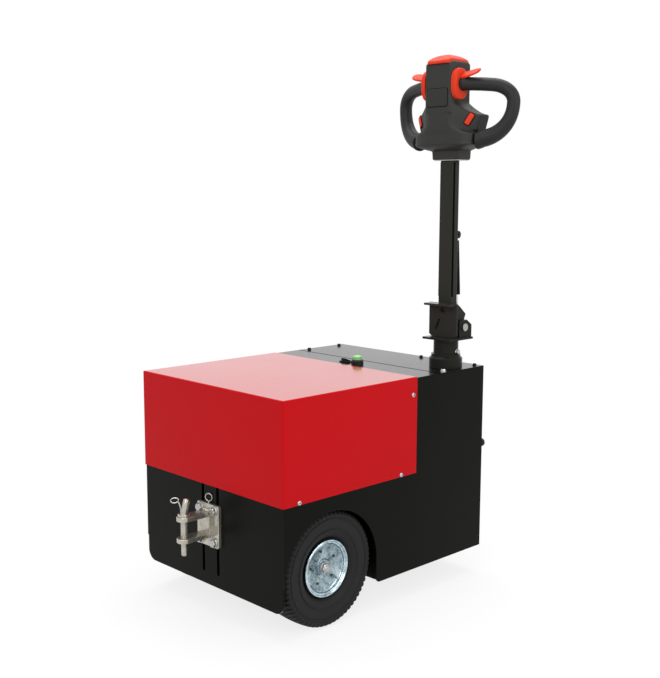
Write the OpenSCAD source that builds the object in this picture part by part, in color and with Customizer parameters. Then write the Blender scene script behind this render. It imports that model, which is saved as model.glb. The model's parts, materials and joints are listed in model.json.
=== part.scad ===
// Walk-behind electric tow tug: sheet body on two pneumatic drive wheels and one
// hidden steered wheel, with a tilting tiller and an adjustable pin hitch.
// Millimetres. X across, Y from the hitch end to the tiller end, Z up from the floor.

/* [Body] */
// Width over the side plates
body_w = 490; // [470:1:520]
// Length from the hitch end to the tiller end
body_l = 650; // [640:1:690]
// Height of the deck above the floor
deck_z = 519; // [505:1:545]
// Clearance between the body and the floor
ground_gap = 66; // [60:1:70]
// Thickness of the body sheet
sheet_t = 3; // [2:0.5:4]
// Thickness of the hitch end plate
end_t = 4; // [3:0.5:6]
// Radius of the lower corners of the hitch end plate
end_corner_r = 25; // [10:1:35]

/* [Hood] */
// Depth of the hood below the deck level
hood_drop = 222; // [200:1:240]
// Thickness of the hood sheet
hood_t = 2; // [1.5:0.5:3]
// Outer radius of the folds
hood_fold_r = 4; // [3.5:0.5:8]

/* [Deck] */
// Length of the deck cover at the tiller end
cover_l = 162; // [150:1:180]
// Length of the control strip between cover and hood
strip_l = 83; // [70:1:100]
// Width of the seam between strip and cover
seam_gap = 1; // [0.5:0.5:2]
// Length of the strip that runs under the hood
strip_lap = 12; // [8:1:20]
// Offset of the start button from the centre
button_x = 20; // [-20:1:60]
// Diameter of the start button's base
button_d = 30; // [24:1:36]
// Spacing of the switch from the button
switch_dx = 40; // [36:1:60]

/* [Drive wheels] */
// Tyre diameter
wheel_d = 260; // [252:1:266]
// Tyre width
tyre_w = 85; // [78:1:88]
// Diameter over the rim flanges
rim_d = 128; // [120:1:134]
// Inset of the tyres from the outer faces of the side plates
tyre_inset = 8.5; // [6:0.5:12]
// Room between the tyres and the hitch end's face
tyre_end_gap = 10; // [9:0.5:16]
// Radial room between tyre and arch
arch_gap = 15; // [10:1:18]
// Radius at the foot of the arch
arch_foot_r = 20; // [10:1:30]
// Diameter of the axle stubs
axle_d = 20; // [16:1:25]
// Room between the tyre and the inner wall of its bay
bay_gap = 9; // [6:1:12]

/* [Steered wheel] */
// Diameter of the steered wheel
steer_d = 190; // [180:1:196]
// Width of the steered wheel
steer_w = 60; // [50:1:64]
// Width of floor left between the wheel's opening and the tiller end
steer_edge = 9.376; // [6:0.001:20]
// Diameter of the fork's stem
stem_d = 35; // [30:1:40]
// Room between wheel and fork
fork_gap = 8; // [6:1:12]

/* [Tow hitch] */
// Height of the middle of the hitch
hitch_z = 208; // [200:1:215]
// Width of the hitch plate
hitch_w = 74; // [70:1:80]
// Height of the hitch plate
hitch_h = 96; // [92:1:110]
// Thickness of the hitch plate
hitch_t = 8; // [6:1:12]
// Thickness of the two arms
arm_t = 12; // [10:1:14]
// Free height between the arms
jaw_gap = 34; // [30:1:40]
// Width of the arms
arm_w = 40; // [36:1:44]
// Distance of the tow pin from the hitch end
pin_reach = 80; // [74:1:95]
// Diameter of the tow pin
pin_d = 20; // [16:1:22]
// Length of the pin below the lower arm
pin_tail = 28; // [24:1:40]
// Distance between the two height slots
slot_pitch = 52; // [48:1:56]
// Width of the height slots
slot_w = 9; // [8:0.5:11]

/* [Tiller post] */
// Distance of the post's axis from the side plate's outer face
post_side = 52; // [50:1:60]
// Distance of the post's axis from the tiller end
post_inset = 82; // [75:1:90]
// Diameter of the post
post_d = 60; // [54:1:64]
// Diameter of the collar on the deck
collar_d = 80; // [76:1:86]
// Height of the collar
collar_h = 28; // [24:1:36]
// Height of the tilt bracket above the deck
bracket_up = 68; // [60:1:80]
// Thickness of the bracket plates
bracket_t = 5; // [4:0.5:6]
// Height of the front web of the column foot
web_h = 82; // [78:1:90]
// Height of the tilt pivot over the bracket floor
pivot_up = 25; // [24:1:28]
// Diameter of the tilt pin
pivot_d = 10; // [8:0.5:11]

/* [Column] */
// Width of the column
column_w = 40; // [36:1:40]
// Depth of the column
column_d = 23; // [20:1:24]
// Wall of the column
column_wall = 3; // [2:0.5:4]
// Height of the head's neck above the deck
neck_up = 492; // [470:1:540]

/* [Gas spring] */
// Diameter of the cylinder
spring_d = 18; // [16:1:20]
// Length of the cylinder
spring_l = 130; // [126:1:140]
// Diameter of the rod
rod_d = 8; // [6:0.5:9]
// Distance of the upper bolt above the tilt pivot
spring_up = 219; // [210:1:230]
// Distance of the rod pin from the tilt pivot
spring_arm = 23; // [22:0.5:24]
// Tilt range that sets the rod's travel
tilt_range = 75; // [60:1:75]

/* [Head] */
// Width of the head block
head_w = 70; // [64:1:76]
// Depth of the head block
head_d = 76; // [72:1:82]
// Height from the neck to the top of the head's arch
head_h = 235; // [230:1:240]
// Radius of the head's arched top
head_arch_r = 46; // [44:1:60]
// Width of the belly button
belly_w = 54; // [48:1:58]
// Spread of the head's lower body
shield_w = 134; // [130:1:142]
// Reach of the wings from the middle
wing_reach = 94; // [90:1:100]
// Diameter of the thumb wheels
thumb_d = 67; // [60:1:70]
// Thickness of the thumb wheels
thumb_t = 12; // [10:1:14]
// Reach of the thumb paddles from the middle
paddle_reach = 99; // [90:1:106]

/* [Handles] */
// Diameter of the handle loops
grip_d = 30; // [26:1:32]
// Reach of the loops' centre line from the middle
grip_reach = 161; // [150:1:175]
// Backward sweep of the loops for each unit outward
grip_sweep = 0.42; // [0.2:0.01:0.5]
// Height of the loops' roots above the neck
grip_root_up = 172; // [168:1:176]
// Height of the loops' lower ends above the neck
grip_foot_up = 40; // [37:1:44]

/* [Hidden] */
$fn = 64;
eps = 0.01;
// Running clearance on a radius, and between faces that slide
run_gap = 0.3;
// Clearance of a pin fixed in its own plates
pin_gap = 0.1;

half_w = body_w / 2;
inner_w = half_w - sheet_t;
panel_top = deck_z - sheet_t;
floor_top = ground_gap + sheet_t;
wheel_z = wheel_d / 2;
wheel_x = half_w - tyre_inset - tyre_w / 2;
wheel_y = wheel_d / 2 + tyre_end_gap;
seam_y = body_l - cover_l - seam_gap;
hood_l = seam_y - strip_l;
post_x = half_w - post_side;
post_y = body_l - post_inset;
// The arch is centred a little behind the axle, so that it runs out at the hitch end
arch_shift = 4;
arch_r = wheel_d / 2 + arch_gap;
arch_y = wheel_y + arch_shift;
bay_x = wheel_x - tyre_w / 2 - bay_gap;
arch_end_gap = 1;
bay_y = arch_y + arch_r + arch_end_gap;
tray_gap = 30;
tray_z = wheel_d + tray_gap;
hood_out = half_w + hood_t;
// The hood's inner fold just clears the corner of the side plates
hood_end_gap = hood_fold_r - hood_t;
hood_front = -hood_end_gap - hood_t;
swing_gap = 8;
steer_open_r = norm([steer_d / 2, steer_w / 2]) + swing_gap;
steer_y = body_l - sheet_t - steer_open_r - steer_edge;
hood_bottom = deck_z - hood_drop;

// Heights and places of the tiller; y values are distances behind the post axis
bracket_z = deck_z + bracket_up;
web_z = bracket_z + bracket_t;
pivot_z = web_z + pivot_up;
column_front = -9;
column_back = column_front + column_d;
foot_drop = 8;
column_foot_z = pivot_z - foot_drop;
pin_room = 1;
pivot_back = column_back + pin_room + pivot_d / 2;
web_y = column_front;
flange_reach = 38;
lug_t = 6;
lug_gap = 5;
cheek_x = column_w / 2 + lug_t + lug_gap;
bracket_lip = 5;
bracket_w = 2 * (cheek_x + lug_t + bracket_lip);
cheek_l = 30;
cheek_back = pivot_back + cheek_l;
neck_z = deck_z + neck_up;

// The gas spring's line leans so that its chord follows the rod pin's arc
half_tilt = tilt_range / 2;
spring_gap = 4;
spring_back = column_back + spring_d / 2 + spring_gap;
chord_off = spring_arm * (1 + cos(half_tilt)) / 2;
spring_lean = asin((chord_off - (spring_back - pivot_back)) / spring_up);
rod_pin_angle = 90 - spring_lean + half_tilt;
rod_pin_y = pivot_back + spring_arm * sin(rod_pin_angle);
rod_pin_z = pivot_z + spring_arm * cos(rod_pin_angle);
rod_travel = 2 * spring_arm * sin(half_tilt);
spring_top_z = pivot_z + spring_up;
rod_line = spring_up * cos(spring_lean) - (spring_back - pivot_back) * sin(spring_lean)
  + rod_travel / 2;
rod_pin_d = rod_d;
eye_play = 3.5;
eye_wall = 3.5;
rod_eye_bore = rod_pin_d / 2 + eye_play;
rod_eye_r = rod_eye_bore + eye_wall;
rod_eye_w = 12;
clevis_side_gap = 3;
clevis_gap = rod_eye_w / 2 + clevis_side_gap;

// The head, measured from the post axis
head_front = -48;
head_back = head_front + head_d;
head_mid = (head_front + head_back) / 2;
head_top = neck_z + head_h;
belly_proud = 4;
belly_top = head_top + belly_proud;
waist_up = 110;
waist_z = neck_z + waist_up;
root_y = -20;
root_gap = 3;
root_x = head_w / 2 + thumb_t + root_gap;
root_z = neck_z + grip_root_up;
foot_z = neck_z + grip_foot_up;
foot_x = shield_w / 2 + run_gap;
foot_y = root_y + (foot_x - root_x) * grip_sweep;

// The whole part is centred over its own box, so that its origin lies on the floor
knob_reach = 18;
eye_r = arm_w / 2;
box_x = (post_x + grip_reach + grip_d / 2 - hood_out) / 2;
box_y = (body_l + knob_reach - pin_reach - eye_r) / 2;

red = [0.70, 0.06, 0.08];
black = [0.06, 0.06, 0.06];
dark_grey = [0.16, 0.16, 0.15];
zinc = [0.72, 0.72, 0.70];
rubber = [0.05, 0.05, 0.05];
orange = [0.85, 0.22, 0.10];
green = [0.35, 0.75, 0.40];

module in_frame() translate([-box_x, -box_y, 0]) children();
module at_post() translate([post_x, post_y, 0]) children();
module both_sides() for (s = [0, 1]) mirror([s, 0, 0]) children();
// Turns a drawing in (Y, Z) into a plate of thickness t that starts at X = 0
module plate_yz(t) rotate([90, 0, 90]) linear_extrude(t) children();
// Turns a drawing in (X, Z) into a plate that runs from Y = 0 to Y = t
module plate_xz(t) rotate([90, 0, 0]) translate([0, 0, -t]) linear_extrude(t) children();
// The piece outside a round corner of radius r, to be cut from a square corner
module corner_cut(r) difference() {
  translate([-1, -1]) square(r + 1);
  translate([r, r]) circle(r = r);
}
module slot_2d(w, h) {
  translate([-w / 2, w / 2]) square([w, h - w]);
  translate([0, w / 2]) circle(d = w);
  translate([0, h - w / 2]) circle(d = w);
}
module round_box_2d(w, d, r) {
  square([w - 2 * r, d], center = true);
  square([w, d - 2 * r], center = true);
  for (i = [-1, 1], j = [-1, 1]) translate([i * (w / 2 - r), j * (d / 2 - r)]) circle(r = r);
}
// A rounded block between two heights, given by its lowest and highest corner
module soft_block(lo, hi, r) {
  for (x = [lo[0] + r, hi[0] - r], y = [lo[1] + r, hi[1] - r], z = [lo[2] + r, hi[2] - r])
    translate([x, y, z]) sphere(r = r, $fn = 16);
}

// Body sheets
slot_foot_z = 94;
slot_rise = 232;
module tow_end_plate() color(black) plate_xz(end_t) difference() {
  translate([-inner_w, ground_gap]) square([2 * inner_w, panel_top - ground_gap]);
  for (s = [0, 1]) mirror([s, 0]) translate([-inner_w, ground_gap]) corner_cut(end_corner_r);
  for (x = [-slot_pitch / 2, slot_pitch / 2])
    translate([x, slot_foot_z]) slot_2d(slot_w, slot_rise);
}
module side_plate() color(black) translate([inner_w, 0, 0]) plate_yz(sheet_t) difference() {
  translate([0, ground_gap]) square([body_l, panel_top - ground_gap]);
  translate([arch_y, wheel_z]) circle(r = arch_r);
  translate([-1, ground_gap - 1]) square([arch_y + arch_r + 1, wheel_z - ground_gap + 1]);
  translate([arch_y + arch_r, ground_gap]) corner_cut(arch_foot_r);
}
module side_plate_right() side_plate();
module side_plate_left() mirror([1, 0, 0]) side_plate();
module tiller_end_plate() color(black) translate([0, body_l - sheet_t, 0]) plate_xz(sheet_t)
  translate([-inner_w, ground_gap]) square([2 * inner_w, panel_top - ground_gap]);
module floor_pan() color(black) translate([0, 0, ground_gap]) linear_extrude(sheet_t) difference() {
  translate([-inner_w, end_t]) square([2 * inner_w, body_l - sheet_t - end_t]);
  for (s = [0, 1]) mirror([s, 0]) translate([bay_x, 0]) square([inner_w, bay_y]);
  translate([0, steer_y]) circle(r = steer_open_r);
}
module wheel_bays() color(black) both_sides() difference() {
  translate([0, 0, floor_top]) linear_extrude(tray_z - floor_top) union() {
    translate([bay_x - sheet_t, end_t]) square([sheet_t, bay_y + sheet_t - end_t]);
    translate([bay_x - eps, bay_y]) square([inner_w - bay_x + eps, sheet_t]);
  }
  translate([bay_x - sheet_t - 1, wheel_y, wheel_z]) rotate([0, 90, 0])
    cylinder(d = axle_d + 6, h = sheet_t + 2);
}
battery_lap = 24;
// The battery stands this far from the tray's middle, away from the hitch
battery_shift = 6;
battery_w = 330;
battery_l = 346;
// Room left between the battery and the deck
battery_head = 26;
battery_h = deck_z - battery_head - tray_z - sheet_t;
module battery_tray() color(black) translate([-inner_w, end_t, tray_z])
  cube([2 * inner_w, battery_l + 2 * battery_lap, sheet_t]);
module battery_pack() color(dark_grey)
  translate([-battery_w / 2, end_t + battery_lap + battery_shift, tray_z + sheet_t]) cube([battery_w,
    battery_l, battery_h]);

// Deck
module control_strip() color(black) translate([0, 0, panel_top]) linear_extrude(sheet_t) {
  translate([-half_w, hood_l]) square([body_w, seam_y - hood_l]);
  translate([-half_w + 2 * hood_fold_r, hood_l - strip_lap])
    square([body_w - 4 * hood_fold_r, strip_lap + eps]);
}
module deck_cover() color(black) translate([0, 0, panel_top]) linear_extrude(sheet_t) difference() {
  translate([-half_w, seam_y + seam_gap]) square([body_w, body_l - seam_y - seam_gap]);
  translate([post_x, post_y]) circle(d = post_d + 3);
}
button_y = (hood_l + seam_y) / 2 - 5;
module start_button() translate([button_x, button_y, deck_z]) {
  color(black) rotate_extrude() polygon([
    [0, 0], [button_d / 2, 0], [button_d / 2, 8], [button_d / 2 - 2, 11], [0, 11]]);
  color(green) translate([0, 0, 11]) rotate_extrude() intersection() {
    translate([0, -8]) circle(r = 19);
    square([button_d / 2 - 4, 12]);
  }
}
module rocker_switch() color(black) translate([button_x - switch_dx, button_y, deck_z]) {
  linear_extrude(3) round_box_2d(28, 21, 3);
  translate([0, 0, 3]) rotate([90, 0, 90]) translate([0, 0, -9]) linear_extrude(18)
    polygon([[-7, 0], [7, 0], [7, 2], [0, 3.5], [-7, 7]]);
}

// Hood: a folded box, open below and towards the deck
module folded_box(x, front, top, r, low) intersection() {
  rotate([90, 0, 0]) translate([0, 0, -hood_l]) linear_extrude(hood_l - front)
    translate([0, (top + low) / 2 - r / 2]) union() {
      square([2 * x, top - low - r], center = true);
      translate([0, r / 2]) square([2 * (x - r), top - low], center = true);
      for (i = [-1, 1]) translate([i * (x - r), (top - low - r) / 2]) circle(r = r);
    }
  translate([-x - 1, 0, 0]) plate_yz(2 * x + 2) union() {
    translate([front + r, low]) square([hood_l - front - r, top - low]);
    translate([front, low]) square([hood_l - front, top - low - r]);
    translate([front + r, top - r]) circle(r = r);
  }
  translate([0, 0, low]) linear_extrude(top - low) union() {
    translate([-x, front + r]) square([2 * x, hood_l - front - r]);
    translate([-x + r, front]) square([2 * (x - r), hood_l - front]);
    for (i = [-1, 1]) translate([i * (x - r), front + r]) circle(r = r);
  }
}
module hood() color(red) difference() {
  folded_box(hood_out, hood_front, deck_z + hood_t, hood_fold_r, hood_bottom);
  translate([0, eps, 0])
    folded_box(half_w, -hood_end_gap - eps, deck_z, hood_fold_r - hood_t, hood_bottom - 1);
}

// Tow hitch
plate_z = hitch_z - hitch_h / 2;
arm_low_z = hitch_z - jaw_gap / 2 - arm_t;
arm_high_z = hitch_z + jaw_gap / 2;
jaw_web_t = 8;
module hitch_plate() color(zinc) translate([0, -hitch_t, 0]) plate_xz(hitch_t)
  translate([0, hitch_z]) round_box_2d(hitch_w, hitch_h, 6);
module hitch_jaw() color(zinc) {
  web_h = jaw_gap + 2 * arm_t;
  translate([-arm_w / 2, -hitch_t - jaw_web_t, arm_low_z]) cube([arm_w, jaw_web_t, web_h]);
  for (z = [arm_low_z, arm_high_z]) translate([0, 0, z]) linear_extrude(arm_t) difference() {
    union() {
      translate([-arm_w / 2, -pin_reach]) square([arm_w, pin_reach - hitch_t - eps]);
      translate([0, -pin_reach]) circle(r = eye_r);
    }
    translate([0, -pin_reach]) circle(d = pin_d + 2 * pin_gap);
  }
}
pin_low_z = arm_low_z - pin_tail;
pin_seat_h = 6;
// The tail below the lower arm is turned down by a step and ends in a point
tail_d = pin_d - 1;
tail_shoulder = 2;
tail_point = 3;
seat_lip = 2;
handle_lean = 16;
handle_l = 48;
module tow_pin() color(zinc) translate([0, -pin_reach, 0]) {
  seat_z = arm_high_z + arm_t;
  translate([0, 0, arm_low_z - tail_shoulder])
    cylinder(d = pin_d, h = seat_z + pin_seat_h - arm_low_z + tail_shoulder);
  translate([0, 0, pin_low_z]) cylinder(d = tail_d, h = pin_tail);
  translate([0, 0, pin_low_z - tail_point]) cylinder(d1 = tail_d - 2 * tail_point, d2 = tail_d,
    h = tail_point);
  translate([0, 0, seat_z]) cylinder(d = pin_d + 2 * seat_lip, h = pin_seat_h);
  translate([0, 0, seat_z + pin_seat_h]) {
    sphere(d = pin_d - 4);
    rotate([-handle_lean, 0, 0]) cylinder(d = pin_d - 6, h = handle_l);
    rotate([-handle_lean, 0, 0]) translate([0, 0, handle_l]) sphere(d = pin_d - 6);
  }
}
ring_r = 9;
ring_wire = 3;
lynch_d = 6;
lynch_l = 14;
module lynch_pin() {
  cylinder(d = lynch_d, h = lynch_l);
  translate([0, 0, lynch_l + ring_r]) rotate([90, 0, 0])
    rotate_extrude() translate([ring_r, 0]) circle(d = ring_wire, $fn = 24);
}
module lynch_pins() color(zinc) {
  translate([0, -pin_reach - pin_d / 2 - seat_lip - lynch_d / 2 - 0.5, arm_high_z + arm_t]) lynch_pin();
  translate([0, -hitch_t / 2, hitch_z + hitch_h / 2]) lynch_pin();
}

// Fittings on the tiller end
knob_z = 323;
knob_x = half_w - 13;
module latch_knob() color(black) translate([knob_x, body_l, knob_z]) rotate([-90, 0, 0])
  rotate_extrude() polygon([[0, 0], [9, 0], [9, 4], [6, 6], [10, 10], [10, knob_reach - 2], [8,
    knob_reach], [0, knob_reach]]);
socket_z = 212;
module charge_socket() color(black) translate([half_w - 26, body_l, socket_z]) plate_xz(7)
  translate([0, 15]) round_box_2d(36, 44, 4);

// Tiller post
module post_collar() color(black) at_post() translate([0, 0, deck_z]) rotate_extrude() difference() {
  polygon([[0, 0], [collar_d / 2, 0], [collar_d / 2, collar_h - 5], [collar_d / 2 - 5, collar_h], [0,
    collar_h]]);
  translate([0, -1]) square([post_d / 2 + run_gap, collar_h + 2]);
}
post_wall = 5;
post_below = 50;
thrust_h = 5;
module post_tube() color(black) at_post() {
  translate([0, 0, deck_z - post_below]) difference() {
    cylinder(d = post_d, h = bracket_up + post_below);
    translate([0, 0, -1]) cylinder(d = post_d - 2 * post_wall, h = bracket_up + post_below + 2);
  }
  translate([0, 0, deck_z + collar_h + run_gap]) difference() {
    cylinder(d = post_d + 10, h = thrust_h);
    translate([0, 0, -1]) cylinder(d = post_d - 1, h = thrust_h + 2);
  }
}
module cheek_2d() difference() {
  union() {
    polygon([[4, web_z - eps], [cheek_back, web_z - eps], [cheek_back, pivot_z + 4],
      [pivot_back + 12, pivot_z + 17], [8, pivot_z + 17], [4, pivot_z + 12]]);
    translate([pivot_back, pivot_z]) circle(r = 15);
  }
  translate([pivot_back, pivot_z]) circle(d = pivot_d + 2 * pin_gap);
}
module clevis_2d() difference() {
  union() {
    translate([rod_pin_y - 9, web_z - eps]) square([18, rod_pin_z - web_z + eps]);
    translate([rod_pin_y, rod_pin_z]) circle(r = 9);
  }
  translate([rod_pin_y, rod_pin_z]) circle(d = rod_pin_d + 2 * pin_gap);
}
module tilt_base() color(black) at_post() {
  translate([0, 0, bracket_z]) linear_extrude(bracket_t) difference() {
    translate([-bracket_w / 2, -flange_reach]) square([bracket_w, flange_reach + cheek_back]);
    translate([-clevis_gap, post_d / 2 + 1]) square([2 * clevis_gap, cheek_back]);
  }
  both_sides() {
    translate([cheek_x, 0, 0]) plate_yz(lug_t) cheek_2d();
    translate([clevis_gap, 0, 0]) plate_yz(bracket_t) clevis_2d();
  }
}
module cross_pin(d, l, y, z) translate([-l / 2, y, z]) rotate([0, 90, 0]) cylinder(d = d, h = l);
module hinge_pins() color(zinc) at_post() {
  cross_pin(pivot_d, 2 * (cheek_x + lug_t) + 2, pivot_back, pivot_z);
  both_sides() translate([cheek_x + lug_t, pivot_back, pivot_z]) rotate([0, 90, 0])
    cylinder(d = 18, h = 6);
  cross_pin(rod_pin_d, 2 * (clevis_gap + bracket_t) + 6, rod_pin_y, rod_pin_z);
}

// Column and foot
neck_seat = 20;
lug_x = 7;
module column() color(black) at_post() {
  translate([0, (column_front + column_back) / 2, column_foot_z])
    linear_extrude(neck_z + neck_seat - column_foot_z) difference() {
      round_box_2d(column_w, column_d, 3);
      square([column_w - 2 * column_wall, column_d - 2 * column_wall], center = true);
    }
  both_sides() translate([lug_x, 0, 0]) plate_yz(3) union() {
    translate([column_back - eps, spring_top_z - 9]) square([spring_back - column_back, 18]);
    translate([spring_back, spring_top_z]) circle(r = 9);
  }
  cross_pin(rod_d, 2 * lug_x + 14, spring_back, spring_top_z);
}
module foot_lug_2d() difference() {
  union() {
    polygon([[web_y - eps, web_z + 8], [web_y - eps, web_z + web_h - bracket_t], [column_back,
      web_z + web_h - bracket_t],
      [pivot_back + 20, pivot_z + 30], [pivot_back + 11, pivot_z + 6], [pivot_back, pivot_z - 12]]);
    translate([pivot_back, pivot_z]) circle(r = 13);
  }
  translate([pivot_back, pivot_z]) circle(d = pivot_d + 2 * run_gap);
}
module foot_web_2d() difference() {
  polygon([[-bracket_w / 2 + 8, 0], [bracket_w / 2 - 8, 0], [bracket_w / 2, 6], [bracket_w / 2, web_h],
    [-bracket_w / 2, web_h], [-bracket_w / 2, 6]]);
  translate([0, web_h - 16]) circle(d = 14);
  translate([-11, 40]) rotate(-25) translate([0, -26]) slot_2d(7, 30);
}
module column_foot() color(black) at_post() {
  translate([0, web_y - bracket_t, web_z + run_gap]) plate_xz(bracket_t) foot_web_2d();
  translate([-bracket_w / 2 + 3, -flange_reach, web_z + web_h - bracket_t])
    cube([bracket_w - 6, flange_reach + web_y, bracket_t]);
  both_sides() translate([column_w / 2, 0, 0]) plate_yz(lug_t) foot_lug_2d();
}

// Gas spring: the cylinder is fixed on the column, the rod slides along its line
module on_spring_line() at_post() translate([0, spring_back, spring_top_z])
  rotate([180 + spring_lean, 0, 0]) children();
bore_l = 85;
module gas_cylinder() color(black) on_spring_line() difference() {
  union() {
    translate([0, 0, 0]) cylinder(d = spring_d - 6, h = 20);
    translate([0, 0, 14]) cylinder(d = spring_d, h = spring_l);
    translate([-lug_x + run_gap, 0, 0]) rotate([0, 90, 0]) cylinder(d = 16, h = 2 * (lug_x - run_gap));
  }
  translate([0, 0, 14 + spring_l - bore_l]) cylinder(d = rod_d + 2 * run_gap, h = bore_l + 1);
  translate([-lug_x - 1, 0, 0]) rotate([0, 90, 0]) cylinder(d = rod_d + 2 * pin_gap, h = 2 * lug_x + 2);
}
rod_inside = 45;
module gas_rod() color(zinc) on_spring_line() difference() {
  union() {
    translate([0, 0, 14 + spring_l - rod_inside]) cylinder(d = rod_d,
      h = rod_line - 14 - spring_l + rod_inside - rod_eye_bore - 1);
    translate([-rod_eye_w / 2, 0, rod_line]) rotate([0, 90, 0]) cylinder(r = rod_eye_r, h = rod_eye_w);
  }
  translate([-rod_eye_w / 2 - 1, 0, rod_line]) rotate([0, 90, 0]) cylinder(r = rod_eye_bore,
    h = rod_eye_w + 2);
}

// Head
function bezier(a, b, c, d, t) =
  pow(1 - t, 3) * a + 3 * t * pow(1 - t, 2) * b + 3 * t * t * (1 - t) * c + pow(t, 3) * d;
function sweep_y(x) = root_y + max(0, x - root_x) * grip_sweep;
// The loop's line in (X, Z): out along the top, round the outer bend, back to the lower body
loop_top = [grip_reach - 43, root_z - 8];
loop_out = [grip_reach, root_z - 41];
loop_low = [foot_x + 12, foot_z + 2];
loop_start = [head_w / 2 + run_gap, root_z];
loop_parts = [
  [loop_start, loop_start + [28, -1], loop_top + [-26, 4], loop_top],
  [loop_top, loop_top + [24, -4], loop_out + [0, 19], loop_out],
  [loop_out, loop_out + [0, -36], loop_low + [36, 8], loop_low],
  [loop_low, loop_low + [-5, -1], [foot_x + 4, foot_z], [foot_x, foot_z]]];
loop_steps = [6, 6, 10, 2];
loop_line = concat(
  [for (p = [0 : 3], i = [0 : loop_steps[p] - 1])
    bezier(loop_parts[p][0], loop_parts[p][1], loop_parts[p][2], loop_parts[p][3], i / loop_steps[p])],
  [[foot_x, foot_z]]);
function loop_3d(q) = [q[0], sweep_y(q[0]), q[1]];
grip_sides = 16;
loop_n = len(loop_line);
function unit(v) = v / norm(v);
function loop_dir(i) = i == 0 ? [1, 0, 0] : i == loop_n - 1 ? [-1, 0, 0]
  : unit(loop_3d(loop_line[i + 1]) - loop_3d(loop_line[i - 1]));
loop_normal = unit([-grip_sweep, 1, 0]);
function loop_ring(i, r) = let (t = loop_dir(i), n = unit(loop_normal - (loop_normal * t) * t),
  b = cross(t, n))
  [for (k = [0 : grip_sides - 1]) let (a = 360 * k / grip_sides)
    loop_3d(loop_line[i]) + r * (cos(a) * b + sin(a) * n)];
module handle() color(black) {
  points = [for (i = [0 : loop_n - 1]) each loop_ring(i, grip_d / 2)];
  sides = [for (i = [0 : loop_n - 2], k = [0 : grip_sides - 1]) let (j = (k + 1) % grip_sides)
    [i * grip_sides + k, (i + 1) * grip_sides + k, (i + 1) * grip_sides + j, i * grip_sides + j]];
  first = [[for (k = [0 : grip_sides - 1]) k]];
  last = [[for (k = [grip_sides - 1 : -1 : 0]) (loop_n - 1) * grip_sides + k]];
  polyhedron(points, concat(sides, first, last), convexity = 6);
}
module handle_right() at_post() handle();
module handle_left() at_post() mirror([1, 0, 0]) handle();

module arch_profile(front, back, top) {
  intersection() {
    translate([front, waist_z]) square([back - front, top - waist_z]);
    union() {
      translate([head_mid, top - head_arch_r]) circle(r = head_arch_r, $fn = 96);
      translate([front, waist_z]) square([back - front, top - head_arch_r - waist_z]);
    }
  }
}
module head_block() intersection() {
  translate([-head_w / 2, 0, 0]) plate_yz(head_w) arch_profile(head_front, head_back, head_top);
  translate([0, head_mid, waist_z]) linear_extrude(head_h) round_box_2d(head_w, head_d, 10);
}
belly_depth = 14;
module belly_space(gap) translate([-belly_w / 2 - gap, 0, 0]) plate_yz(belly_w + 2 * gap)
  translate([head_front - 20, head_top - belly_depth - gap]) square([head_d + 40, belly_depth + 20]);
neck_front = -14;
neck_back = 28;
neck_w = 80;
neck_h = 24;
edge_r = 6;
module shield() hull() {
  soft_block([-head_w / 2, head_front, waist_z - 10], [head_w / 2, head_back, waist_z + 6], edge_r);
  soft_block([-head_w / 2, head_front + 6, neck_z + 40], [head_w / 2, head_back - 4, neck_z + 70], edge_r);
  translate([-shield_w / 2, foot_y - grip_d / 2 - 2, foot_z - grip_d / 2 - 1])
    cube([shield_w, grip_d + 4, grip_d + 4]);
  translate([-neck_w / 2 + 3, neck_front, neck_z + neck_h - 4])
    cube([neck_w - 6, neck_back - neck_front, 2]);
}
wing_front = -2;
wing_back = 38;
wing_low = neck_z + 68;
wing_high = neck_z + 100;
wing_root_front = head_front + 12;
wing_turn = atan2(wing_front - wing_root_front, wing_reach - head_w / 2);
module wing() hull() {
  soft_block([0, wing_root_front, neck_z + 56], [head_w / 2, head_back, waist_z + 26], edge_r);
  soft_block([wing_reach - 12, wing_front, wing_low], [wing_reach, wing_back, wing_high], edge_r - 1);
}
// Puts a drawing on the wing's front face, in the middle of its side button
button_share = 0.66;
button_w = 12;
button_h = 26;
button_tilt = 14;
button_t = 5;
button_sink = 2.5;
module on_wing_face() translate([
    head_w / 2 - 3 + button_share * (wing_reach - head_w / 2),
    wing_root_front + 0.7 + button_share * (wing_front - wing_root_front), (wing_low + wing_high) / 2 + 8])
  rotate([0, 0, wing_turn]) rotate([0, button_tilt, 0]) children();
module side_button(gap) on_wing_face() translate([0, -button_t + button_sink, 0])
  plate_xz(button_t + gap) round_box_2d(button_w + 2 * gap, button_h + 2 * gap, 3);
module head_shell() color(dark_grey) at_post() difference() {
  union() {
    difference() {
      head_block();
      belly_space(0);
    }
    shield();
    both_sides() wing();
    translate([-neck_w / 2, neck_front, neck_z]) cube([neck_w, neck_back - neck_front, neck_h]);
  }
  translate([0, (column_front + column_back) / 2, neck_z - 1]) linear_extrude(neck_seat + 1 + run_gap)
    square([column_w + 2 * run_gap, column_d + 2 * run_gap], center = true);
  both_sides() side_button(run_gap);
}
module belly_button() color(orange) at_post() intersection() {
  belly_space(-run_gap);
  translate([-head_w / 2, 0, 0]) plate_yz(head_w)
    arch_profile(head_front - 3, head_back + 3, belly_top);
}
panel_t = 2;
module head_panel() color(dark_grey) at_post() translate([0, head_front - panel_t, waist_z + 30])
  plate_xz(panel_t) round_box_2d(59, 40, 5);
module side_buttons() color(orange) at_post() both_sides() side_button(0);
thumb_gap = 1;
paddle_t = 8;
paddle_w = 24;
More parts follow.
